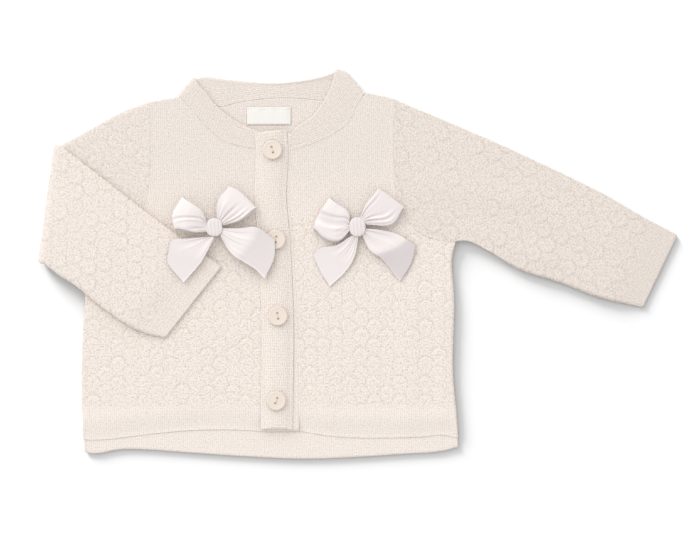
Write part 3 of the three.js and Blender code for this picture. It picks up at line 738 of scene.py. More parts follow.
def sleeve_right(knit):
    """The stretched sleeve: a flattened tube between two curves, its radius taking the
    relief of the knitting, with soft ridges on its upper face."""
    seam = reversed_path(armhole(1, SHOULDER_RIGHT))
    top_edge = [[118, 89.3], [162.5, 69.4], [207.5, 47.5], [230, 34.5]]
    top = joined_path(seam(0.0), top_edge, CUFF_TOP)
    low_edge = [[123, 18], [136.2, 11.2], [155, 0], [180, -8.1], [205, -17.5]]
    low = joined_path(seam(1.0), low_edge, CUFF_LOW)
    step = 1.15 * knit.mesh_step / MM
    along = graded(SLEEVE_LENGTH, int(SLEEVE_LENGTH / step))[0]
    start, end, bend = sleeve_stations(top, low, seam, 0.45, along)
    width = np.linalg.norm(start - end, axis=-1)
    centre, sine, cosine = tube_section(width, step)
    to_cuff = ((1 - along) * SLEEVE_LENGTH)[:, None] + 0 * centre
    to_seam = (along * SLEEVE_LENGTH)[:, None] + 0 * centre

    def place(radius):
        w = (centre + radius * sine) / width[:, None]
        points = start[:, None] + (end - start)[:, None] * w[..., None] + bend(np.clip(w, 0, 1))
        height = SLEEVE_HALF_HEIGHT + radius * cosine
        lift = swell(RIGHT_SLEEVE_FOLDS, points[..., 0], points[..., 1])
        return points, (height + lift * soft_step(0.0, 0.6, cosine)) * cuff_press(to_cuff)

    points, _ = place(SLEEVE_HALF_HEIGHT)
    flat = turned(points, RIGHT_SLEEVE_TURN)
    radius, painted_shade, patterned = sleeve_skin(flat, points, to_cuff, to_seam, sine, knit)
    # The whole sleeve gets an even darker tone on top of its painted shade.
    piece = cloth_object(
        "sleeve_right_knit", stacked(*place(radius)), stacked(*place(LINING_RADIUS)), flat,
        painted_shade + 0.45, 1 + 0 * patterned, patterned, closed=True,
    )
    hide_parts("sleeve_right")
    return piece


def sleeve_left(knit):
    """The folded sleeve: an upper arm, a half turn about the fold's axis, and a forearm
    that lies on the front with its lower face up. Its flat place is worked out unfolded."""
    seam = reversed_path(armhole(-1, SHOULDER_LEFT))
    upper_low = joined_path(seam(1.0), [[-124, 15.5]], ELBOW_LOW)
    upper_top = joined_path(seam(0.0), [[-93.8, 98.7], [-108.8, 90.6]], ELBOW_TOP)
    step = 1.15 * knit.mesh_step / MM
    upper_along = graded(UPPER_ARM, int(UPPER_ARM / step))[0][:-5]
    start, end, bend = sleeve_stations(upper_top, upper_low, seam, 0.9, upper_along)
    angle = np.linspace(0, np.pi, 16)
    fore_top = joined_path(ELBOW_TOP, [[-66.9, 28.1]], FOLDED_CUFF_TOP)
    fore_edge = [[-133.6, -3], [-122.8, -10], [-107.5, -22.6], [-95, -31.6], [-82.5, -38.6]]
    fore_low = joined_path(ELBOW_LOW, fore_edge, FOLDED_CUFF_LOW)
    fore_along = graded(FOREARM, int(FOREARM / step))[0][5:]
    turns = np.ones((len(angle), 1))
    start = np.concatenate([start, turns * ELBOW_TOP, fore_top(fore_along)])
    end = np.concatenate([end, turns * ELBOW_LOW, fore_low(fore_along)])
    width = np.linalg.norm(start - end, axis=-1)
    centre, sine, cosine = tube_section(width, step)
    first, last = len(upper_along), len(upper_along) + len(angle)
    down = (ELBOW_LOW - ELBOW_TOP) / np.linalg.norm(ELBOW_LOW - ELBOW_TOP)
    outwards = np.array([down[1], -down[0]])
    far = FAR + 0 * angle
    to_cuff = np.concatenate([FAR + 0 * upper_along, far, (1 - fore_along) * FOREARM])
    to_seam = np.concatenate([upper_along * UPPER_ARM, far, FAR + 0 * fore_along])
    to_cuff, to_seam = (distance[:, None] + 0 * centre for distance in (to_cuff, to_seam))

    def place(radius):
        w = (centre + radius * sine) / width[:, None]
        z = SLEEVE_HALF_HEIGHT + radius * cosine + 0 * centre
        points = start[:, None] + (end - start)[:, None] * w[..., None]
        points[:first] += bend(np.clip(w[:first], 0, 1))
        flat = points.copy()
        reach = FOLD_AXIS_HEIGHT - z[first:last]
        points[first:last] += (reach * np.sin(angle)[:, None])[..., None] * outwards
        flat[first:last] += (FOLD_AXIS_HEIGHT * angle)[:, None, None] * outwards
        past = (flat[last:] - ELBOW_TOP) @ outwards
        flat[last:] += (FOLD_AXIS_HEIGHT * np.pi - 2 * past)[..., None] * outwards
        z[first:last] = FOLD_AXIS_HEIGHT - reach * np.cos(angle)[:, None]
        fore = points[last:]
        lift = swell(FOREARM_FOLDS, fore[..., 0], fore[..., 1]) * soft_step(0, 0.6, -cosine)
        z[last:] = 2 * FOLD_AXIS_HEIGHT - z[last:] + lift
        z[last:] = BAND_LOW + (z[last:] - BAND_LOW) * cuff_press(to_cuff[last:])
        return stacked(points, z), flat

    flat = turned(place(SLEEVE_HALF_HEIGHT)[1], LEFT_SLEEVE_TURN)
    radius, painted_shade, patterned = sleeve_skin(flat, flat, to_cuff, to_seam, sine, knit)
    tint = 0.35 * patterned
    tint[:first] = 1
    # The upper arm gets an even darker tone; on the forearm the painted shade at the cuff edge is
    # taken off and that on the rounded sides made weaker.
    painted_shade[:first] += 0.2
    painted_shade[last:] -= edge_shade(to_cuff[last:]) + 0.9 * np.abs(sine)
    piece = cloth_object(
        "sleeve_left_knit", place(radius)[0], place(LINING_RADIUS)[0], flat, painted_shade, tint,
        patterned, closed=True,
    )
    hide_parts("sleeve_left")
    return piece


# Neckband and button bands


def cross_rows(distance, knit):
    """Relief of rows across a band: 0 on a row and -1 between rows, as a raised cosine."""
    return 0.5 * np.cos(2 * np.pi * distance / (knit.course / MM)) - 0.5


def band_relief(across, width, along, knit):
    """Relief and painted shade of a band: cross rows, and a groove inside each long edge, with
    shade painted in the groove and between the rows.
    """
    edge = np.minimum(across, width - across)
    groove = bell(edge - 2.6, 0.8)
    rows = cross_rows(along, knit) * soft_step(0.6, 1.8, edge)
    return 0.11 * rows - 0.12 * groove - 0.05, -0.12 * rows + 0.15 * groove


def neckband(knit):
    """One doubled strip round the neck: a front part, a half turn about the fold at the
    shoulder, the back part below, the other half turn and the other front part."""
    v = graded(NECKBAND_WIDTH, 14)[0]

    def strip(low, high, fold, length):
        u = graded(length, int(length / BAND_STEP))[0]
        return span(between(low, high, 0.0), fold, low, high)(u[:, None], v[None, :])

    def front(side):
        low = front_neck_seam(side)
        edge = NECK_EDGE_LEFT if side < 0 else NECK_EDGE_RIGHT
        high = smooth_path([beside_band(side)(1.0), *edge])
        fold = joined_path(low(1.0), [] if side < 0 else NECK_FOLD_RIGHT, high(1.0))
        return np.delete(strip(low, high, fold, NECKBAND_FRONT), [-2, -3, -4], axis=0)

    def outwards(fold, way):
        run = np.gradient(fold, axis=0)
        run /= np.linalg.norm(run, axis=-1, keepdims=True)
        return way * np.stack([-run[:, 1], run[:, 0]], -1)

    left, right = front(-1), front(1)[::-1]
    low, high = smooth_path(NECK_SEAM_BACK), smooth_path(NECK_EDGE_BACK)
    fold = joined_path(low(1.0), NECK_FOLD_RIGHT, high(1.0))
    back = strip(low, high, fold, NECKBAND_BACK)
    back = np.delete(back, [1, 2, 3, -2, -3, -4], axis=0)
    angle = np.linspace(0, np.pi, 13)[1:-1]
    turn = np.ones((len(angle), 1, 1))
    flat_points = np.concatenate([left, turn * back[0], back, turn * back[-1], right])
    ways = [turn * outwards(back[0], 1), 0 * back, turn * outwards(back[-1], -1)]
    out = np.concatenate([0 * left, *ways, 0 * right])
    tip = [np.zeros(len(left)), angle, np.full(len(back), np.pi), angle[::-1]]
    tip = np.concatenate([*tip, np.zeros(len(right))])
    middle = flat_points[:, len(v) // 2]
    steps = np.linalg.norm(np.diff(middle, axis=0), axis=1)
    steps += NECKBAND_HALF_HEIGHT * np.abs(np.diff(tip))
    along = np.concatenate([[0], np.cumsum(steps)])
    width = np.linalg.norm(flat_points[:, 0] - flat_points[:, -1], axis=-1)[:, None]
    across = v[None] * width
    relief, painted_shade = band_relief(across, width, along[:, None], knit)
    ends = np.minimum(along, along[-1] - along)[:, None]
    drop = deepest(edge_drop(width - across, 1.6, 1.0), sewn_drop(ends), sewn_drop(across))
    inside = soft_step(0, 1.8, nearest(across, width - across, ends))
    tip = tip[:, None]

    def skin(radius):
        points = flat_points + (radius * np.sin(tip))[..., None] * out
        return stacked(points, NECKBAND_HALF_HEIGHT + radius * np.cos(tip))

    outer = skin(NECKBAND_HALF_HEIGHT - drop + inside * relief)
    inner = skin(LINING_RADIUS + np.minimum(drop, 0.75) - 0.45 * inside * relief)
    uv = np.stack([across, np.broadcast_to(along[:, None], across.shape)], -1)
    # The neckband gets an even darker tone on top of its painted shade.
    piece = cloth_object("neckband_knit", outer, inner, uv, painted_shade + 0.3, 0.9 + 0 * across)
    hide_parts("neckband_left", "neckband_right", "neckband_back")
    return piece


def button_strip(name, node, middle, low, high, knit):
    """A knitted strip along a curved middle line, with cross rows and a dip round each
    button. The upper band bows down to its edges, and the lower one has a small valley."""
    left, right = shifted_path(middle, BAND_HALF), shifted_path(middle, -BAND_HALF)
    surface = span(left, right, between(left, right, 0.0), between(left, right, 1.0))
    u, v = graded(2 * BAND_HALF, 22)[0], graded(BAND_LENGTH, int(BAND_LENGTH / BAND_STEP))[0]
    points = surface(u[None, :], v[:, None])
    x, y = points[..., 0], points[..., 1]
    across = 2 * BAND_HALF * u[None, :] + 0 * x
    along = BAND_LENGTH * v[:, None] + 0 * x
    relief, painted_shade = band_relief(across, 2 * BAND_HALF, along, knit)
    side, end = nearest(across, 2 * BAND_HALF - across), nearest(along, BAND_LENGTH - along)
    soft = low > FRONT_HIGH
    drop = 1.7 * (across / BAND_HALF - 1) ** 2 if soft else sewn_drop(side)
    drop = deepest(drop, edge_drop(end, 2.4, 1.7))
    press = 0.22 * (1 - soft_step(0, 5, side)) if soft else 0 * side
    inside = soft_step(0, 1.8, nearest(side, end))
    top = high - drop + inside * (relief + unevenness(x, y, 0.2))
    for button_x, button_y, _ in BUTTON_PLACES:
        top = top - 0.25 * inside * bell((np.hypot(x - button_x, y - button_y) / 7.5) ** 2)
    uv = np.stack([across, along], -1)
    outer, inner = stacked(points, top - press), stacked(points, low - press)
    piece = cloth_object(name, outer, inner, uv, painted_shade, 0.6 * soft_step(20, 90, y))
    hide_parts(node)
    return piece


# Buttons


def disc_grid(rings):
    """A square grid bent into a disc: rings of the square become circles of the disc.

    Returns the share of the way out and the direction of each point. rings gives the
    share of the grid's half side at which each ring stands."""
    side = np.concatenate([-rings[:0:-1], rings])
    a, b = np.meshgrid(side, side)
    wide = np.abs(a) > np.abs(b)
    reach = np.where(wide, a, b)
    safe = np.where(reach == 0, 1, reach)
    angle = np.where(wide, np.pi / 4 * b / safe, np.pi / 2 - np.pi / 4 * a / safe)
    return np.abs(reach), angle + np.where(reach < 0, np.pi, 0)


def placed(px, py, x, y, turn):
    """Flat points turned by an angle and moved to x, y."""
    c, s = math.cos(turn), math.sin(turn)
    return np.stack([x + c * px - s * py, y + s * px + c * py], -1)


def button(index, x, y, turn):
    """A round button: height over radius is a dish, a raised rounded rim and a quarter
    round outside, with two thread holes sunk as steep bells."""
    share, angle = disc_grid(np.linspace(0, 1, 29))
    shares, radii, heights = np.array(BUTTON_PROFILE).T
    radius, height = np.interp(share, shares, radii), np.interp(share, shares, heights)
    px, py = radius * np.cos(angle), radius * np.sin(angle)
    away = nearest(np.hypot(px, py - HOLE_OFFSET), np.hypot(px, py + HOLE_OFFSET))
    hole = 1 - soft_step(0.5, 0.82, away)
    flat = placed(px, py, x, y, turn)
    inset = np.interp(share, [0, 0.86, 1], [0, 5.3, 6.0]) / np.maximum(radius, 1e-6)
    inset = np.where(radius < 1e-6, 1, inset)[..., None]
    low_flat = np.array([x, y]) + (flat - np.array([x, y])) * inset
    low = np.interp(share, [0, 0.86, 0.95, 1], [0, 0, 0.25, 0.8])
    # The holes' mask sinks them and is also their painted shade.
    outer = stacked(flat, BUTTON_LOW + height - 0.9 * hole)
    piece = cloth_object(
        f"button_{index}_disc", outer, stacked(low_flat, BUTTON_LOW + low), flat, hole
    )
    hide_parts(f"button_{index}")
    return piece


def button_thread(index, x, y, turn):
    """Sewing thread through the two holes: three strands side by side, each a circle
    carried along a low arch from hole to hole."""
    threads = []
    t = np.linspace(-1, 1, 13)[:, None]
    angle = np.linspace(0, 2 * np.pi, 11)[None, :-1]
    rise = BUTTON_LOW + 0.98 + 0.72 * np.sqrt(np.clip(1 - t**6, 0, 1))
    for n, shift in enumerate((-0.22, 0.0, 0.22)):
        px = shift + 0.11 * np.cos(angle) + 0 * t
        flat = placed(px, HOLE_OFFSET * t + 0 * px, x, y, turn)
        strand = stacked(flat, rise + 0.11 * np.sin(angle))
        core = strand.mean(axis=1, keepdims=True)
        thread = cloth_object(
            f"button_{index}_thread_{n + 1}", strand, core + (strand - core) * 0.2, flat,
            closed=True,
        )
        threads.append(thread)
    return threads


# Bows


def ribbon_piece(name, outer, inner, uv, shade):
    """A piece of ribbon, in the place of the plain solid of that name."""
    piece = cloth_object(f"{name}_ribbon", outer, inner, uv, shade)
    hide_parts(name)
    return piece


def ribbon_surface(shape, knot):
    """The footprint of a ribbon end, from its root (v = 0) to its far edge (v = 1).

    The root lies nearer to the knot than the plain solid's, so that the knot covers it."""
    root = np.array(shape["root"])
    way = np.array(knot) - root.mean(axis=0)
    first, second = root + shape.get("pull", 0.25) * way / np.linalg.norm(way)
    far = smooth_path(shape["far"])
    left = joined_path(first, shape["sides"][0], far(0.0))
    right = joined_path(second, shape["sides"][1], far(1.0))
    return span(left, right, straight_path(first, second), far)


def creases(u, v, rows):
    """Depth of the creases that fan out from the knot: 1 in a valley and -1 on a ridge.

    A row gives a crease's place across the ribbon at the knot and at the far edge, how far
    it reaches, its depth and its half width. Each is a bell across a slanted line."""
    total = np.zeros(np.broadcast(u, v).shape)
    for at_knot, at_far, reach, depth, half_width in rows:
        middle = at_knot + (at_far - at_knot) * v
        fade = 1 - soft_step(reach - 0.5, reach, v)
        width = half_width * (0.7 + 1.1 * v)
        total = total + depth * fade * bell(u - middle, width)
    return total


def gathers(u, v, phase):
    """Fine pleats close to the knot, from -1 to 1: a sine across the ribbon that dies away
    as the fourth power of the way left."""
    return np.sin(2 * np.pi * (6.3 * u + phase) + np.sin(7 * u)) * np.clip(1 - v, 0, 1) ** 4


def ribbon_loop(name, shape, knot, trim, phase):
    """A loop: the ribbon runs out, turns over and comes back above itself, along a smooth
    profile of reach and height, with pleats that fade away from the knot."""
    surface = ribbon_surface(shape, knot)
    root_height, far_height = shape["heights"]
    u = np.linspace(0, 1, 61)[:, None]
    length = np.linalg.norm(surface(0.5, 0.0) - surface(0.5, 1.0))
    profile = smooth_path([[v * length, rise * LOOP_HEIGHT] for v, rise in LOOP_PROFILE])
    s = np.linspace(0, 1, 97)
    reach, rise = profile(s).T
    run = np.gradient(np.stack([reach, rise], -1), axis=0)
    run /= np.linalg.norm(run, axis=-1, keepdims=True)
    v = reach[None] / length
    upper = soft_step(0.45, 0.6, s)[None]
    fold = creases(u, v, shape["creases"])
    pleat = gathers(u, v, phase)
    relief = (0.7 * fold + 0.3 * pleat) * upper + 0.3 * pleat * (1 - upper)
    relief = relief * soft_step(0, 0.12, v)
    crown = -0.5 * upper * (2 * u - 1) ** 4

    def skin(inset):
        inward = np.stack([-run[:, 1], run[:, 0]], -1)
        w = v + (inset * inward[:, 0][None]) / length
        narrow = 0.5 + (u - 0.5) * (1 - 0.1 * upper * soft_step(0.25, 0.7, v))
        points = surface(narrow, np.clip(w, 0, 1))
        base = root_height + (far_height - root_height) * np.minimum(1.6 * w, 1)
        height = base + rise[None] + inset * inward[:, 1][None] + crown
        return stacked(points, height - relief)

    uv = np.stack([(u - 0.5) * RIBBON_WIDTH + 0 * v, s[None] * LOOP_LENGTH + 0 * u], -1)
    # Painted shade over the loop's face by its shade, more in the valleys of its creases and
    # pleats, with painted highlights on their ridges.
    shade = np.clip(shape["shade"] + 0.6 * fold + 0.4 * pleat, 0, 1)
    return ribbon_piece(name, skin(0.0), skin(trim.ribbon_wall / MM), uv, shade)


def ribbon_tail(name, shape, knot, trim, phase):
    """A tail: one layer of ribbon that settles from the knot onto what lies under it, with
    pleats near the knot and a slow wave towards its cut end."""
    surface = ribbon_surface(shape, knot)
    root_height, far_height = shape["heights"]
    u, v = np.meshgrid(np.linspace(0, 1, 61), np.linspace(0, 1, 73))
    points = surface(u, v)
    settle = soft_step(0, 0.75, v)
    at, lean, lift, near, band, beyond = shape["bend"]
    fold = creases(u, v, TAIL_CREASES)
    pleat = gathers(u, v, phase) * soft_step(-0.03, 0.1, v)
    slant = v + lean * (2 * u - 1)
    base = root_height + (far_height - root_height) * settle + 0.15 * (1 - v) + 0.1
    base = base + lift * bell(slant - at, 0.25)
    low = base - 0.5 * fold + 0.25 * pleat + 0.2 * np.sin(5 * v + 3 * u + 6 * phase)
    uv = np.stack([(u - 0.5) * RIBBON_WIDTH, v * TAIL_LENGTH], -1)
    # Painted shade past the bend, where the tail turns away from the light, in a band along the
    # bend and in the creases and pleats; painted highlights along one selvage and at the far
    # corner.
    past = soft_step(at - 0.05, at + 0.07, slant)
    shade = near + 0.08 + (beyond - near) * past + band * bell(slant - at, 0.07)
    shade = shade + 0.5 * fold + 0.25 * pleat - 0.5 * soft_step(0.93, 1, u) * soft_step(0.3, 0.6, v)
    shade = np.clip(shade - 0.35 * soft_step(0.8, 1, u * v), 0, 1)
    outer = stacked(points, low + trim.ribbon_wall / MM)
    return ribbon_piece(name, outer, stacked(points, low), uv, shade)


def ribbon_knot(name, bow, phase):
    """The knot: a pad on a rounded oblong foot, whose crowned top reaches out over the
    roots of the ribbon, creased along the way that the ribbon wraps over it.

    An oblong is where (|x| / half width) and (|y| / half height), to the power 2.4, add up
    to 1. The top is a dome, and the underside runs up the foot and out below the rim."""
    share, angle = disc_grid(np.linspace(0, 1, 21) ** 0.8)
    across, up = np.cos(angle), np.sin(angle)
    half_width, above, below = bow["cap"]

    def oblong(half_x, half_y):
        return (np.abs(across / half_x) ** 2.4 + np.abs(up / half_y) ** 2.4) ** (-1 / 2.4)

    cap, foot = oblong(half_width, np.where(up > 0, above, below)), oblong(*KNOT_FOOT)
    rim = max(bow["loop_1"]["heights"][0], bow["loop_2"]["heights"][0]) + KNOT_RISE
    px, py = share * cap * across, share * cap * up
    dome = np.clip(1 - share**3.2, 0, 1) ** 0.5
    crease = np.sin(px * 2.7 + phase + 0.9 * np.sin(py * 0.55)) * (0.7 + 0.3 * np.sin(py + phase))
    high = rim + (0.72 - 0.13 * crease) * dome
    low = np.interp(share, [0, 0.72, 0.8, 0.9, 1], [4.65, 4.65, 5.1, rim - 0.3, rim - 0.12])
    reach = foot * np.interp(share, [0, 0.72, 0.8], [0, 0.93, 1])
    reach = reach + (cap - foot) * np.interp(share, [0.9, 1], [0, 1])
    centre, uv = np.array(bow["knot"]), np.stack([px, py], -1)
    outer = stacked(centre + uv, high)
    inner = stacked(centre + np.stack([reach * across, reach * up], -1), low)
    # Painted shade over the whole knot, darker in its creases and lighter on their ridges.
    return ribbon_piece(name, outer, inner, uv, np.clip(0.5 + 0.3 * crease, 0, 1))


# Label


def neck_label():
    """A bare satin label: a rectangle with slow ripples, its top edge pulled down where it
    is sewn to the neckband, and its short ends turned under."""
    u, v = np.meshgrid(np.linspace(-1, 1, 81), np.linspace(-1, 1, 41))
    px, py = u * LABEL_SIZE[0] / 2, v * LABEL_SIZE[1] / 2
    ripple = 0.16 * np.sin(px * 0.75 + 0.5 * np.sin(py * 0.6)) * soft_step(-0.6, 1, v)
    pull = -0.16 * bell(py - 3.9 - 0.25 * np.sin(px * 0.5), 0.5)
    ends = -0.08 * bell(np.abs(px) - 12.3, 0.35)
    high = 3.0 + ripple + pull + ends - 0.45 * np.maximum(np.abs(u), np.abs(v)) ** 14
    uv = np.stack([px, py], -1)
    points = np.array(LABEL_CENTRE) + uv
    low = stacked(points, np.minimum(high - 0.3, 2.35))
    # Painted shade along the pulled seam line and over the turned ends.
    piece = cloth_object("neck_label_satin", stacked(points, high), low, uv, -pull - ends)
    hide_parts("label")
    return piece


# Finishes


class NodeTable:
    """A node tree being laid out: each call adds one node and gives back its output."""

    def __init__(self, owner):
        owner.use_nodes = True
        self.nodes, self.links = owner.node_tree.nodes, owner.node_tree.links

    def wire(self, value, socket):
        """Links an output to a socket, or sets the socket to a number or colour."""
        if isinstance(value, bpy.types.NodeSocket):
            self.links.new(value, socket)
        else:
            socket.default_value = value

    def node(self, kind, sockets, **settings):
        """A new node with its settings, and its sockets linked or set."""
        node = self.nodes.new("ShaderNode" + kind)
        for name, value in settings.items():
            setattr(node, name, value)
        for place, value in sockets.items():
            self.wire(value, node.inputs[place])
        return node

    def calc(self, operation, *values):
        return self.node("Math", dict(enumerate(values)), operation=operation).outputs[0]

    def place_of(self, kind):
        return self.node("TexCoord", {}).outputs[kind]


class Finish(NodeTable):
    """A material being laid out, for one finish of the cardigan or its stage."""

    def __init__(self, name):
        self.material = bpy.data.materials.new(name)
        super().__init__(self.material)
        self.shader = self.nodes["Principled BSDF"]

    def flat_place(self):
        """The cloth's flat place in millimetres, whole and as its two numbers."""
        place = self.node("UVMap", {}, uv_map="Flat").outputs[0]
        split = self.node("SeparateXYZ", {0: place})
        return place, split.outputs[0], split.outputs[1]

    def value_of(self, name):
        return self.node("Attribute", {}, attribute_name=name).outputs["Fac"]

    def noise(self, place, scale, detail=2.0, rough=0.5):
        sockets = {"Vector": place, "Scale": scale, "Detail": detail, "Roughness": rough}
        return self.node("TexNoise", sockets).outputs[0]

    def blend(self, amount, first, second):
        return self.node("Mix", {0: amount, 6: first, 7: second}, data_type="RGBA").outputs[2]

    def bump(self, height, distance):
        return self.node("Bump", {"Height": height, "Distance": distance}).outputs[0]

    def surface(self, **sockets):
        """The material, once the shader's own sockets are linked or set."""
        for name, value in sockets.items():
            self.wire(value, self.shader.inputs[name.replace("_", " ")])
        return self.material


def knit_finish(name, knit, banded):
    """Yarn knitted in columns of slanted legs. Over a stitch, the height is 1 - (4|a| - 1)^2
    across it, times a cosine along it that leans with |a|. Bands have wider, flatter rows.

    Speckle, warm flecks and slow patches come from noise over the cloth's flat place."""
    finish = Finish(name)
    calc = finish.calc
    place, across, along = finish.flat_place()
    lace, painted_shade = finish.value_of("lace"), finish.value_of("painted_shade")
    sway = calc("SUBTRACT", finish.noise(place, 0.21, 1.0), 0.5)
    drift = calc("SUBTRACT", finish.noise(place, 0.34, 1.0), 0.5)
    wales = calc("DIVIDE", calc("MULTIPLY_ADD", sway, 1.6, across), knit.wale / MM)
    rows = calc("DIVIDE", calc("MULTIPLY_ADD", drift, 1.5, along), knit.course / MM)
    a = calc("ABSOLUTE", calc("SUBTRACT", calc("FRACT", wales), 0.5))
    leg = calc("SUBTRACT", calc("MULTIPLY", a, 4), 1)
    leg = calc("SUBTRACT", 1, calc("MULTIPLY", leg, leg))
    phase = calc("MULTIPLY_ADD", a, 0.3 if banded else 0.95, rows)
    row = calc("COSINE", calc("MULTIPLY", phase, 2 * math.pi))
    plainness = calc("MULTIPLY_ADD", lace, -0.65, 1.0)
    yarn = calc("MULTIPLY", leg, calc("MULTIPLY_ADD", row, 0.24, 0.76))
    yarn = calc("MULTIPLY", yarn, plainness)

    grain = finish.noise(place, 0.95, 2.0, 0.7)
    fibre = finish.noise(place, 2.8, 2.0, 0.6)
    busy = calc("MULTIPLY_ADD", calc("SUBTRACT", grain, 0.5), 2.4, 0.55)
    height = calc("MULTIPLY_ADD", busy, calc("MULTIPLY_ADD", lace, 0.75, 0.15), yarn)
    height = calc("MULTIPLY_ADD", fibre, 0.4, height)

    # Painted shade between the legs of the stitches and from the painted_shade attribute, blended
    # towards the shaded yarn colour together with the speckle's random tone.
    shade = calc("MULTIPLY", calc("SUBTRACT", plainness, yarn), knit.stitch_shade)
    shade = calc("MULTIPLY_ADD", painted_shade, knit.painted_shade_strength, shade)
    speckle = calc("MULTIPLY", calc("SUBTRACT", 0.5, grain), knit.speckle)
    speckle = calc("MULTIPLY", speckle, calc("MULTIPLY_ADD", lace, 0.38, 0.62))
    shade = calc("ADD", calc("ADD", speckle, shade), calc("MULTIPLY_ADD", lace, 0.155, -0.01))
    light = finish.blend(finish.value_of("tint"), knit.yarn, knit.yarn_plain)
    patch = calc("MULTIPLY", finish.noise(place, 0.06, 2.0), 0.3)
    light = finish.blend(patch, light, knit.yarn_plain)
    warmth = calc("SUBTRACT", finish.noise(place, 0.75, 2.0, 0.6), 0.5)
    light = finish.blend(calc("MULTIPLY_ADD", warmth, 2.2, 0.3), light, knit.yarn_warm)
    depth = finish.node("Clamp", {0: shade}).outputs[0]
    return finish.surface(
        Base_Color=finish.blend(depth, light, knit.yarn_shade_and_speckle),
        Normal=finish.bump(height, 0.0002),
        Roughness=0.92, Specular_IOR_Level=0.2, Sheen_Weight=0.12, Sheen_Roughness=0.5,
    )


def satin_finish(name, colour, deep, trim, ribbed):
    """Satin: long floats that shine, as fine lines across the ribbon, with painted shade in its
    pleats and creases.
    """
    finish = Finish(name)
    calc = finish.calc
    place, across, along = finish.flat_place()
    turns = calc("MULTIPLY", across if ribbed else along, 2 * math.pi / SATIN_PITCH)
    thread = calc("SINE", turns)
    slub = finish.noise(place, 1.2, 2.0)
    # The painted shade, and the slubs' random tone, blend towards the darker colour.
    shade = calc("MULTIPLY", finish.value_of("painted_shade"), trim.pleat_shade)
    return finish.surface(
        Base_Color=finish.blend(calc("MULTIPLY_ADD", slub, 0.1, shade), colour, deep),
        Roughness=calc("MULTIPLY_ADD", slub, 0.16, 0.42 if ribbed else 0.27),
        Normal=finish.bump(calc("MULTIPLY_ADD", thread, 0.35, slub), 0.00003),
        Specular_IOR_Level=0.55,
    )


def button_finish(name, trim):
    """Moulded plastic with slow swirls, painted shade in the thread holes, and fine scratches."""
    finish = Finish(name)
    calc = finish.calc
    place = finish.place_of("Object")
    swirl = calc("MULTIPLY", finish.noise(place, 160.0, 3.0), 0.35)
    hole = calc("MULTIPLY", finish.value_of("painted_shade"), 0.45)
    scratch = finish.noise(place, 1900.0, 2.0)
    colour = finish.blend(swirl, trim.button, trim.button_deep)
    return finish.surface(
        Base_Color=finish.blend(hole, colour, trim.button_hole_shade),
        Roughness=calc("MULTIPLY_ADD", scratch, 0.18, 0.26),
        Normal=finish.bump(scratch, 0.00001),
        Specular_IOR_Level=0.5, Coat_Weight=0.25,
    )


def floor_finish(stage):
    """Pale paper: one white with a faint grain."""
    finish = Finish("Studio paper")
    grain = finish.noise(finish.place_of("Object"), 220.0, 2.0)
    darker = tuple(0.985 * part for part in stage.floor[:3]) + (1,)
    colour = finish.blend(grain, stage.floor, darker)
    return finish.surface(Base_Color=colour, Roughness=0.95, Specular_IOR_Level=0.05)


def wear(pieces, material):
    """Gives each piece its one material."""
    for piece in pieces:
        piece.data.materials.clear()
        piece.data.materials.append(material)


def shared(name, make, *settings):
    """The material of that name, made on its first use."""
    return bpy.data.materials.get(name) or make(name, *settings)


def lamp(name, kind, way, energy):
    """A lamp at the origin that shines along a direction."""
    piece = hung(name, bpy.data.lights.new(name, kind))
    piece.data.energy = energy
    piece.rotation_euler = Vector(way).to_track_quat("-Z", "Y").to_euler()
    return piece


def room_light(fill):
    """White light from all round, brighter from above and behind the collar: its strength
    is fill times 1 + 0.45 times the direction's part along a slope."""
    world = bpy.data.worlds.new("studio")
    table = NodeTable(world)
    way = {0: table.place_of("Generated"), 1: (-0.45, 0.65, 1.3)}
    slope = table.node("VectorMath", way, operation="DOT_PRODUCT").outputs["Value"]
    background = table.nodes["Background"]
    table.wire((1, 1, 1, 1), background.inputs[0])
    table.wire(table.calc("MULTIPLY_ADD", slope, 0.45 * fill, fill), background.inputs[1])
    return world


# Settings that a user changes


def amount_of(name, description, default, **kind):
    """A number that a user may change, with its limits, unit or subtype."""
    kind = {"min": 0, **kind}
    return bpy.props.FloatProperty(name=name, description=description, default=default, **kind)


def size_of(name, description, default, least, most=10):
    """A length in metres that a user may change."""
    return amount_of(name, description, default, min=least, max=most, unit="LENGTH", precision=5)


def share_of(name, description, default):
    """A share from 0 to 1 that a user may change."""
    return amount_of(name, description, default, max=1, subtype="FACTOR")


def colour_of(name, description, *default):
    """A colour that a user may change."""
    return bpy.props.FloatVectorProperty(
        name=name, description=description, default=(*default, 1), size=4, min=0, max=1,
        subtype="COLOR",
    )


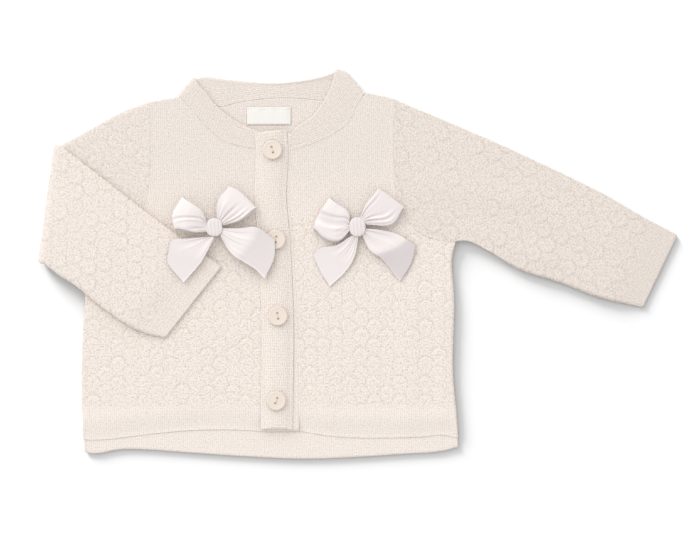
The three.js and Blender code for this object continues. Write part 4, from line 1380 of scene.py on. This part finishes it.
class CardiganKnit(bpy.types.PropertyGroup):
    wale: size_of("Stitch width", "Width of one knitted stitch", 0.0024, 0.0005)
    course: size_of("Row height", "Height of one knitted row", 0.00175, 0.0005)
    repeat_width: size_of("Pattern width", "Distance between dimples along a row", 0.016, 0.004)
    row_pitch: size_of("Pattern height", "Distance between rows of dimples", 0.0059, 0.002)
    relief: size_of("Relief", "Depth of the pattern stitch", 0.00022, 0, 0.0012)
    mesh_step: size_of("Mesh step", "Distance between mesh points on the panels", 0.0008, 0.0006)
    yarn: colour_of("Yarn", "Colour of the yarn in the light", 0.876, 0.814, 0.747)
    yarn_plain: colour_of("Plain yarn", "Colour of the yoke, cuffs and bands", 0.782, 0.737, 0.688)
    yarn_warm: colour_of("Warm yarn", "Colour of the warm flecks in the yarn", 0.905, 0.79, 0.745)
    # yarn_shade_and_speckle is the colour of painted shade and of darker speckle; stitch_shade and
    # painted_shade_strength set how dark the painted shade is.
    yarn_shade_and_speckle: colour_of("Yarn in hollows", "Colour of the yarn between stitches", 0.60, 0.52, 0.45)
    stitch_shade: share_of("Stitch shade", "How dark the gaps between stitches are", 0.48)
    painted_shade_strength: share_of("Groove shade", "How dark the grooves of the pattern are", 0.24)
    speckle: amount_of("Speckle", "How uneven the yarn's tone is", 3.4, max=5)


class CardiganTrim(bpy.types.PropertyGroup):
    ribbon_wall: size_of("Ribbon wall", "Thickness of the satin ribbon", 0.0005, 0.0002, 0.001)
    ribbon: colour_of("Ribbon", "Colour of the satin ribbon", 0.86, 0.80, 0.775)
    # The colour that the painted shade and the slubs blend towards.
    ribbon_shade_and_slub: colour_of("Ribbon in pleats", "Colour of the ribbon's pleats", 0.50, 0.44, 0.46)
    pleat_shade: share_of("Pleat shade", "How dark the pleats of the ribbon are", 0.55)
    button: colour_of("Button", "Colour of the buttons", 0.765, 0.675, 0.59)
    button_deep: colour_of("Button swirl", "Colour of the buttons' swirls", 0.71, 0.605, 0.51)
    # Colour painted into the thread holes as their shade.
    button_hole_shade: colour_of("Thread hole", "Colour inside the thread holes", 0.42, 0.33, 0.26)
    label: colour_of("Label", "Colour of the neck label", 0.82, 0.79, 0.75)
    # Colour painted as shade along the label's seam and turned ends, and in its slubs.
    label_shade_and_slub: colour_of("Label seam", "Colour of the label along its seams", 0.5, 0.47, 0.46)


class CardiganStage(bpy.types.PropertyGroup):
    field: size_of("View width", "Width of what the camera sees", 0.4375, 0.1)
    distance: size_of("Camera height", "Height of the camera above the floor", 2.4, 0.5)
    floor: colour_of("Floor", "Colour of the floor", 0.605, 0.605, 0.605)
    key: amount_of("Key light", "Power of the large light at the upper left", 30.0, unit="POWER")
    low: amount_of("Floor light", "Strength of the low light that falls only on the floor", 7.0)
    fill: amount_of("Fill light", "Brightness of the room round the table", 0.71)


# Operators


class CARDIGAN_OT_body(bpy.types.Operator):
    """Knit the back and the two fronts"""

    bl_idname = "cardigan.body"
    bl_label = "Body"

    def execute(self, context):
        knit = context.scene.cardigan_knit
        panels = [back_panel(knit), front_panel(-1, knit), front_panel(1, knit)]
        wear(panels, shared("Cream knit", knit_finish, knit, False))
        return {"FINISHED"}


class CARDIGAN_OT_sleeves(bpy.types.Operator):
    """Knit the stretched sleeve and the folded sleeve"""

    bl_idname = "cardigan.sleeves"
    bl_label = "Sleeves"

    def execute(self, context):
        knit = context.scene.cardigan_knit
        sleeves = [sleeve_right(knit), sleeve_left(knit)]
        wear(sleeves, shared("Cream knit", knit_finish, knit, False))
        return {"FINISHED"}


class CARDIGAN_OT_bands(bpy.types.Operator):
    """Knit the neckband, the button band and the buttonhole band"""

    bl_idname = "cardigan.bands"
    bl_label = "Bands"

    def execute(self, context):
        knit = context.scene.cardigan_knit
        under = button_strip(
            "button_band_knit", "button_band", smooth_path(UNDER_BAND_MIDDLE), FRONT_LOW,
            FRONT_HIGH, knit,
        )
        upper = button_strip(
            "buttonhole_band_knit", "buttonhole_band", smooth_path(UPPER_BAND_MIDDLE), BAND_LOW,
            BAND_HIGH, knit,
        )
        wear([neckband(knit), under, upper], shared("Cream band knit", knit_finish, knit, True))
        return {"FINISHED"}


class CARDIGAN_OT_buttons(bpy.types.Operator):
    """Mould the four buttons and sew them on"""

    bl_idname = "cardigan.buttons"
    bl_label = "Buttons"

    def execute(self, context):
        trim = context.scene.cardigan_trim
        pieces = [button(k + 1, *place) for k, place in enumerate(BUTTON_PLACES)]
        for k, place in enumerate(BUTTON_PLACES):
            pieces += button_thread(k + 1, *place)
        wear(pieces, shared("Peach cream button", button_finish, trim))
        return {"FINISHED"}


class CARDIGAN_OT_bows(bpy.types.Operator):
    """Fold the ribbon of the two bows"""

    bl_idname = "cardigan.bows"
    bl_label = "Bows"

    def execute(self, context):
        trim = context.scene.cardigan_trim
        pieces = []
        for k, (name, bow) in enumerate(BOWS.items()):
            pieces.append(ribbon_knot(f"{name}_knot", bow, 1.1 * k))
            for n in (1, 2):
                knot, turn = bow["knot"], 0.2 + 0.39 * (n + k)
                loop = ribbon_loop(f"{name}_loop_{n}", bow[f"loop_{n}"], knot, trim, turn)
                tail = ribbon_tail(f"{name}_tail_{n}", bow[f"tail_{n}"], knot, trim, turn)
                pieces += [loop, tail]
        colours = trim.ribbon, trim.ribbon_shade_and_slub
        wear(pieces, shared("White satin ribbon", satin_finish, *colours, trim, False))
        return {"FINISHED"}


class CARDIGAN_OT_label(bpy.types.Operator):
    """Sew in the bare neck label"""

    bl_idname = "cardigan.label"
    bl_label = "Label"

    def execute(self, context):
        trim = context.scene.cardigan_trim
        colours = trim.label, trim.label_shade_and_slub
        wear([neck_label()], shared("White woven label", satin_finish, *colours, trim, True))
        return {"FINISHED"}


class CARDIGAN_OT_stage(bpy.types.Operator):
    """Lay the pale floor, hang the soft lights and set the camera"""

    bl_idname = "cardigan.stage"
    bl_label = "Stage"

    def execute(self, context):
        stage, scene = context.scene.cardigan_stage, context.scene
        floor = hung("floor", bpy.data.meshes.new("floor"))
        corners = [(-1, -1), (1, -1), (1, 1), (-1, 1)]
        corners = [(x * FLOOR_HALF, y * FLOOR_HALF, FLOOR_HEIGHT) for x, y in corners]
        floor.data.from_pydata(corners, [], [(0, 1, 2, 3)])
        wear([floor], floor_finish(stage))

        camera = hung("camera", bpy.data.cameras.new("camera"))
        camera.location = (*CAMERA_PLACE, stage.distance)
        camera.data.sensor_width = SENSOR
        camera.data.lens = SENSOR * (stage.distance - CLOTH_FACE) / stage.field
        camera.data.clip_end = 20
        scene.camera = camera

        key = lamp("key", "AREA", KEY_AIM - KEY_PLACE, stage.key)
        key.location = KEY_PLACE
        key.data.shape = "DISK"
        key.data.size = KEY_SIZE
        low = lamp("floor light", "SUN", LOW_WAY, stage.low)
        low.data.angle = LOW_SPREAD
        lit = bpy.data.collections.new("lit by the floor light")
        lit.objects.link(floor)
        low.light_linking.receiver_collection = lit
        scene.world = room_light(stage.fill)
        scene.view_settings.view_transform = "Standard"
        return {"FINISHED"}


class CARDIGAN_PT_pieces(bpy.types.Panel):
    """Settings and pieces of the cardigan"""

    bl_label = "Cardigan"
    bl_space_type = "VIEW_3D"
    bl_region_type = "UI"
    bl_category = "Cardigan"

    def draw(self, context):
        layout = self.layout
        for settings in (
            context.scene.cardigan_knit, context.scene.cardigan_trim, context.scene.cardigan_stage,
        ):
            box = layout.box()
            for name in settings.__annotations__:
                box.prop(settings, name)
        for operator in OPERATORS:
            layout.operator(operator.bl_idname)


SETTINGS = {
    "cardigan_knit": CardiganKnit,
    "cardigan_trim": CardiganTrim,
    "cardigan_stage": CardiganStage,
}
OPERATORS = (
    CARDIGAN_OT_stage,
    CARDIGAN_OT_body,
    CARDIGAN_OT_sleeves,
    CARDIGAN_OT_bands,
    CARDIGAN_OT_buttons,
    CARDIGAN_OT_bows,
    CARDIGAN_OT_label,
)


def register():
    for kind in (*SETTINGS.values(), *OPERATORS, CARDIGAN_PT_pieces):
        bpy.utils.register_class(kind)
    for name, kind in SETTINGS.items():
        setattr(bpy.types.Scene, name, bpy.props.PointerProperty(type=kind))


def unregister():
    for name in SETTINGS:
        delattr(bpy.types.Scene, name)
    for kind in (CARDIGAN_PT_pieces, *OPERATORS, *SETTINGS.values()):
        bpy.utils.unregister_class(kind)


def main():
    register()
    bpy.ops.cardigan.stage()
    bpy.ops.cardigan.body()
    bpy.ops.cardigan.sleeves()
    bpy.ops.cardigan.bands()
    bpy.ops.cardigan.buttons()
    bpy.ops.cardigan.bows()
    bpy.ops.cardigan.label()


if __name__ == "__main__":
    main()
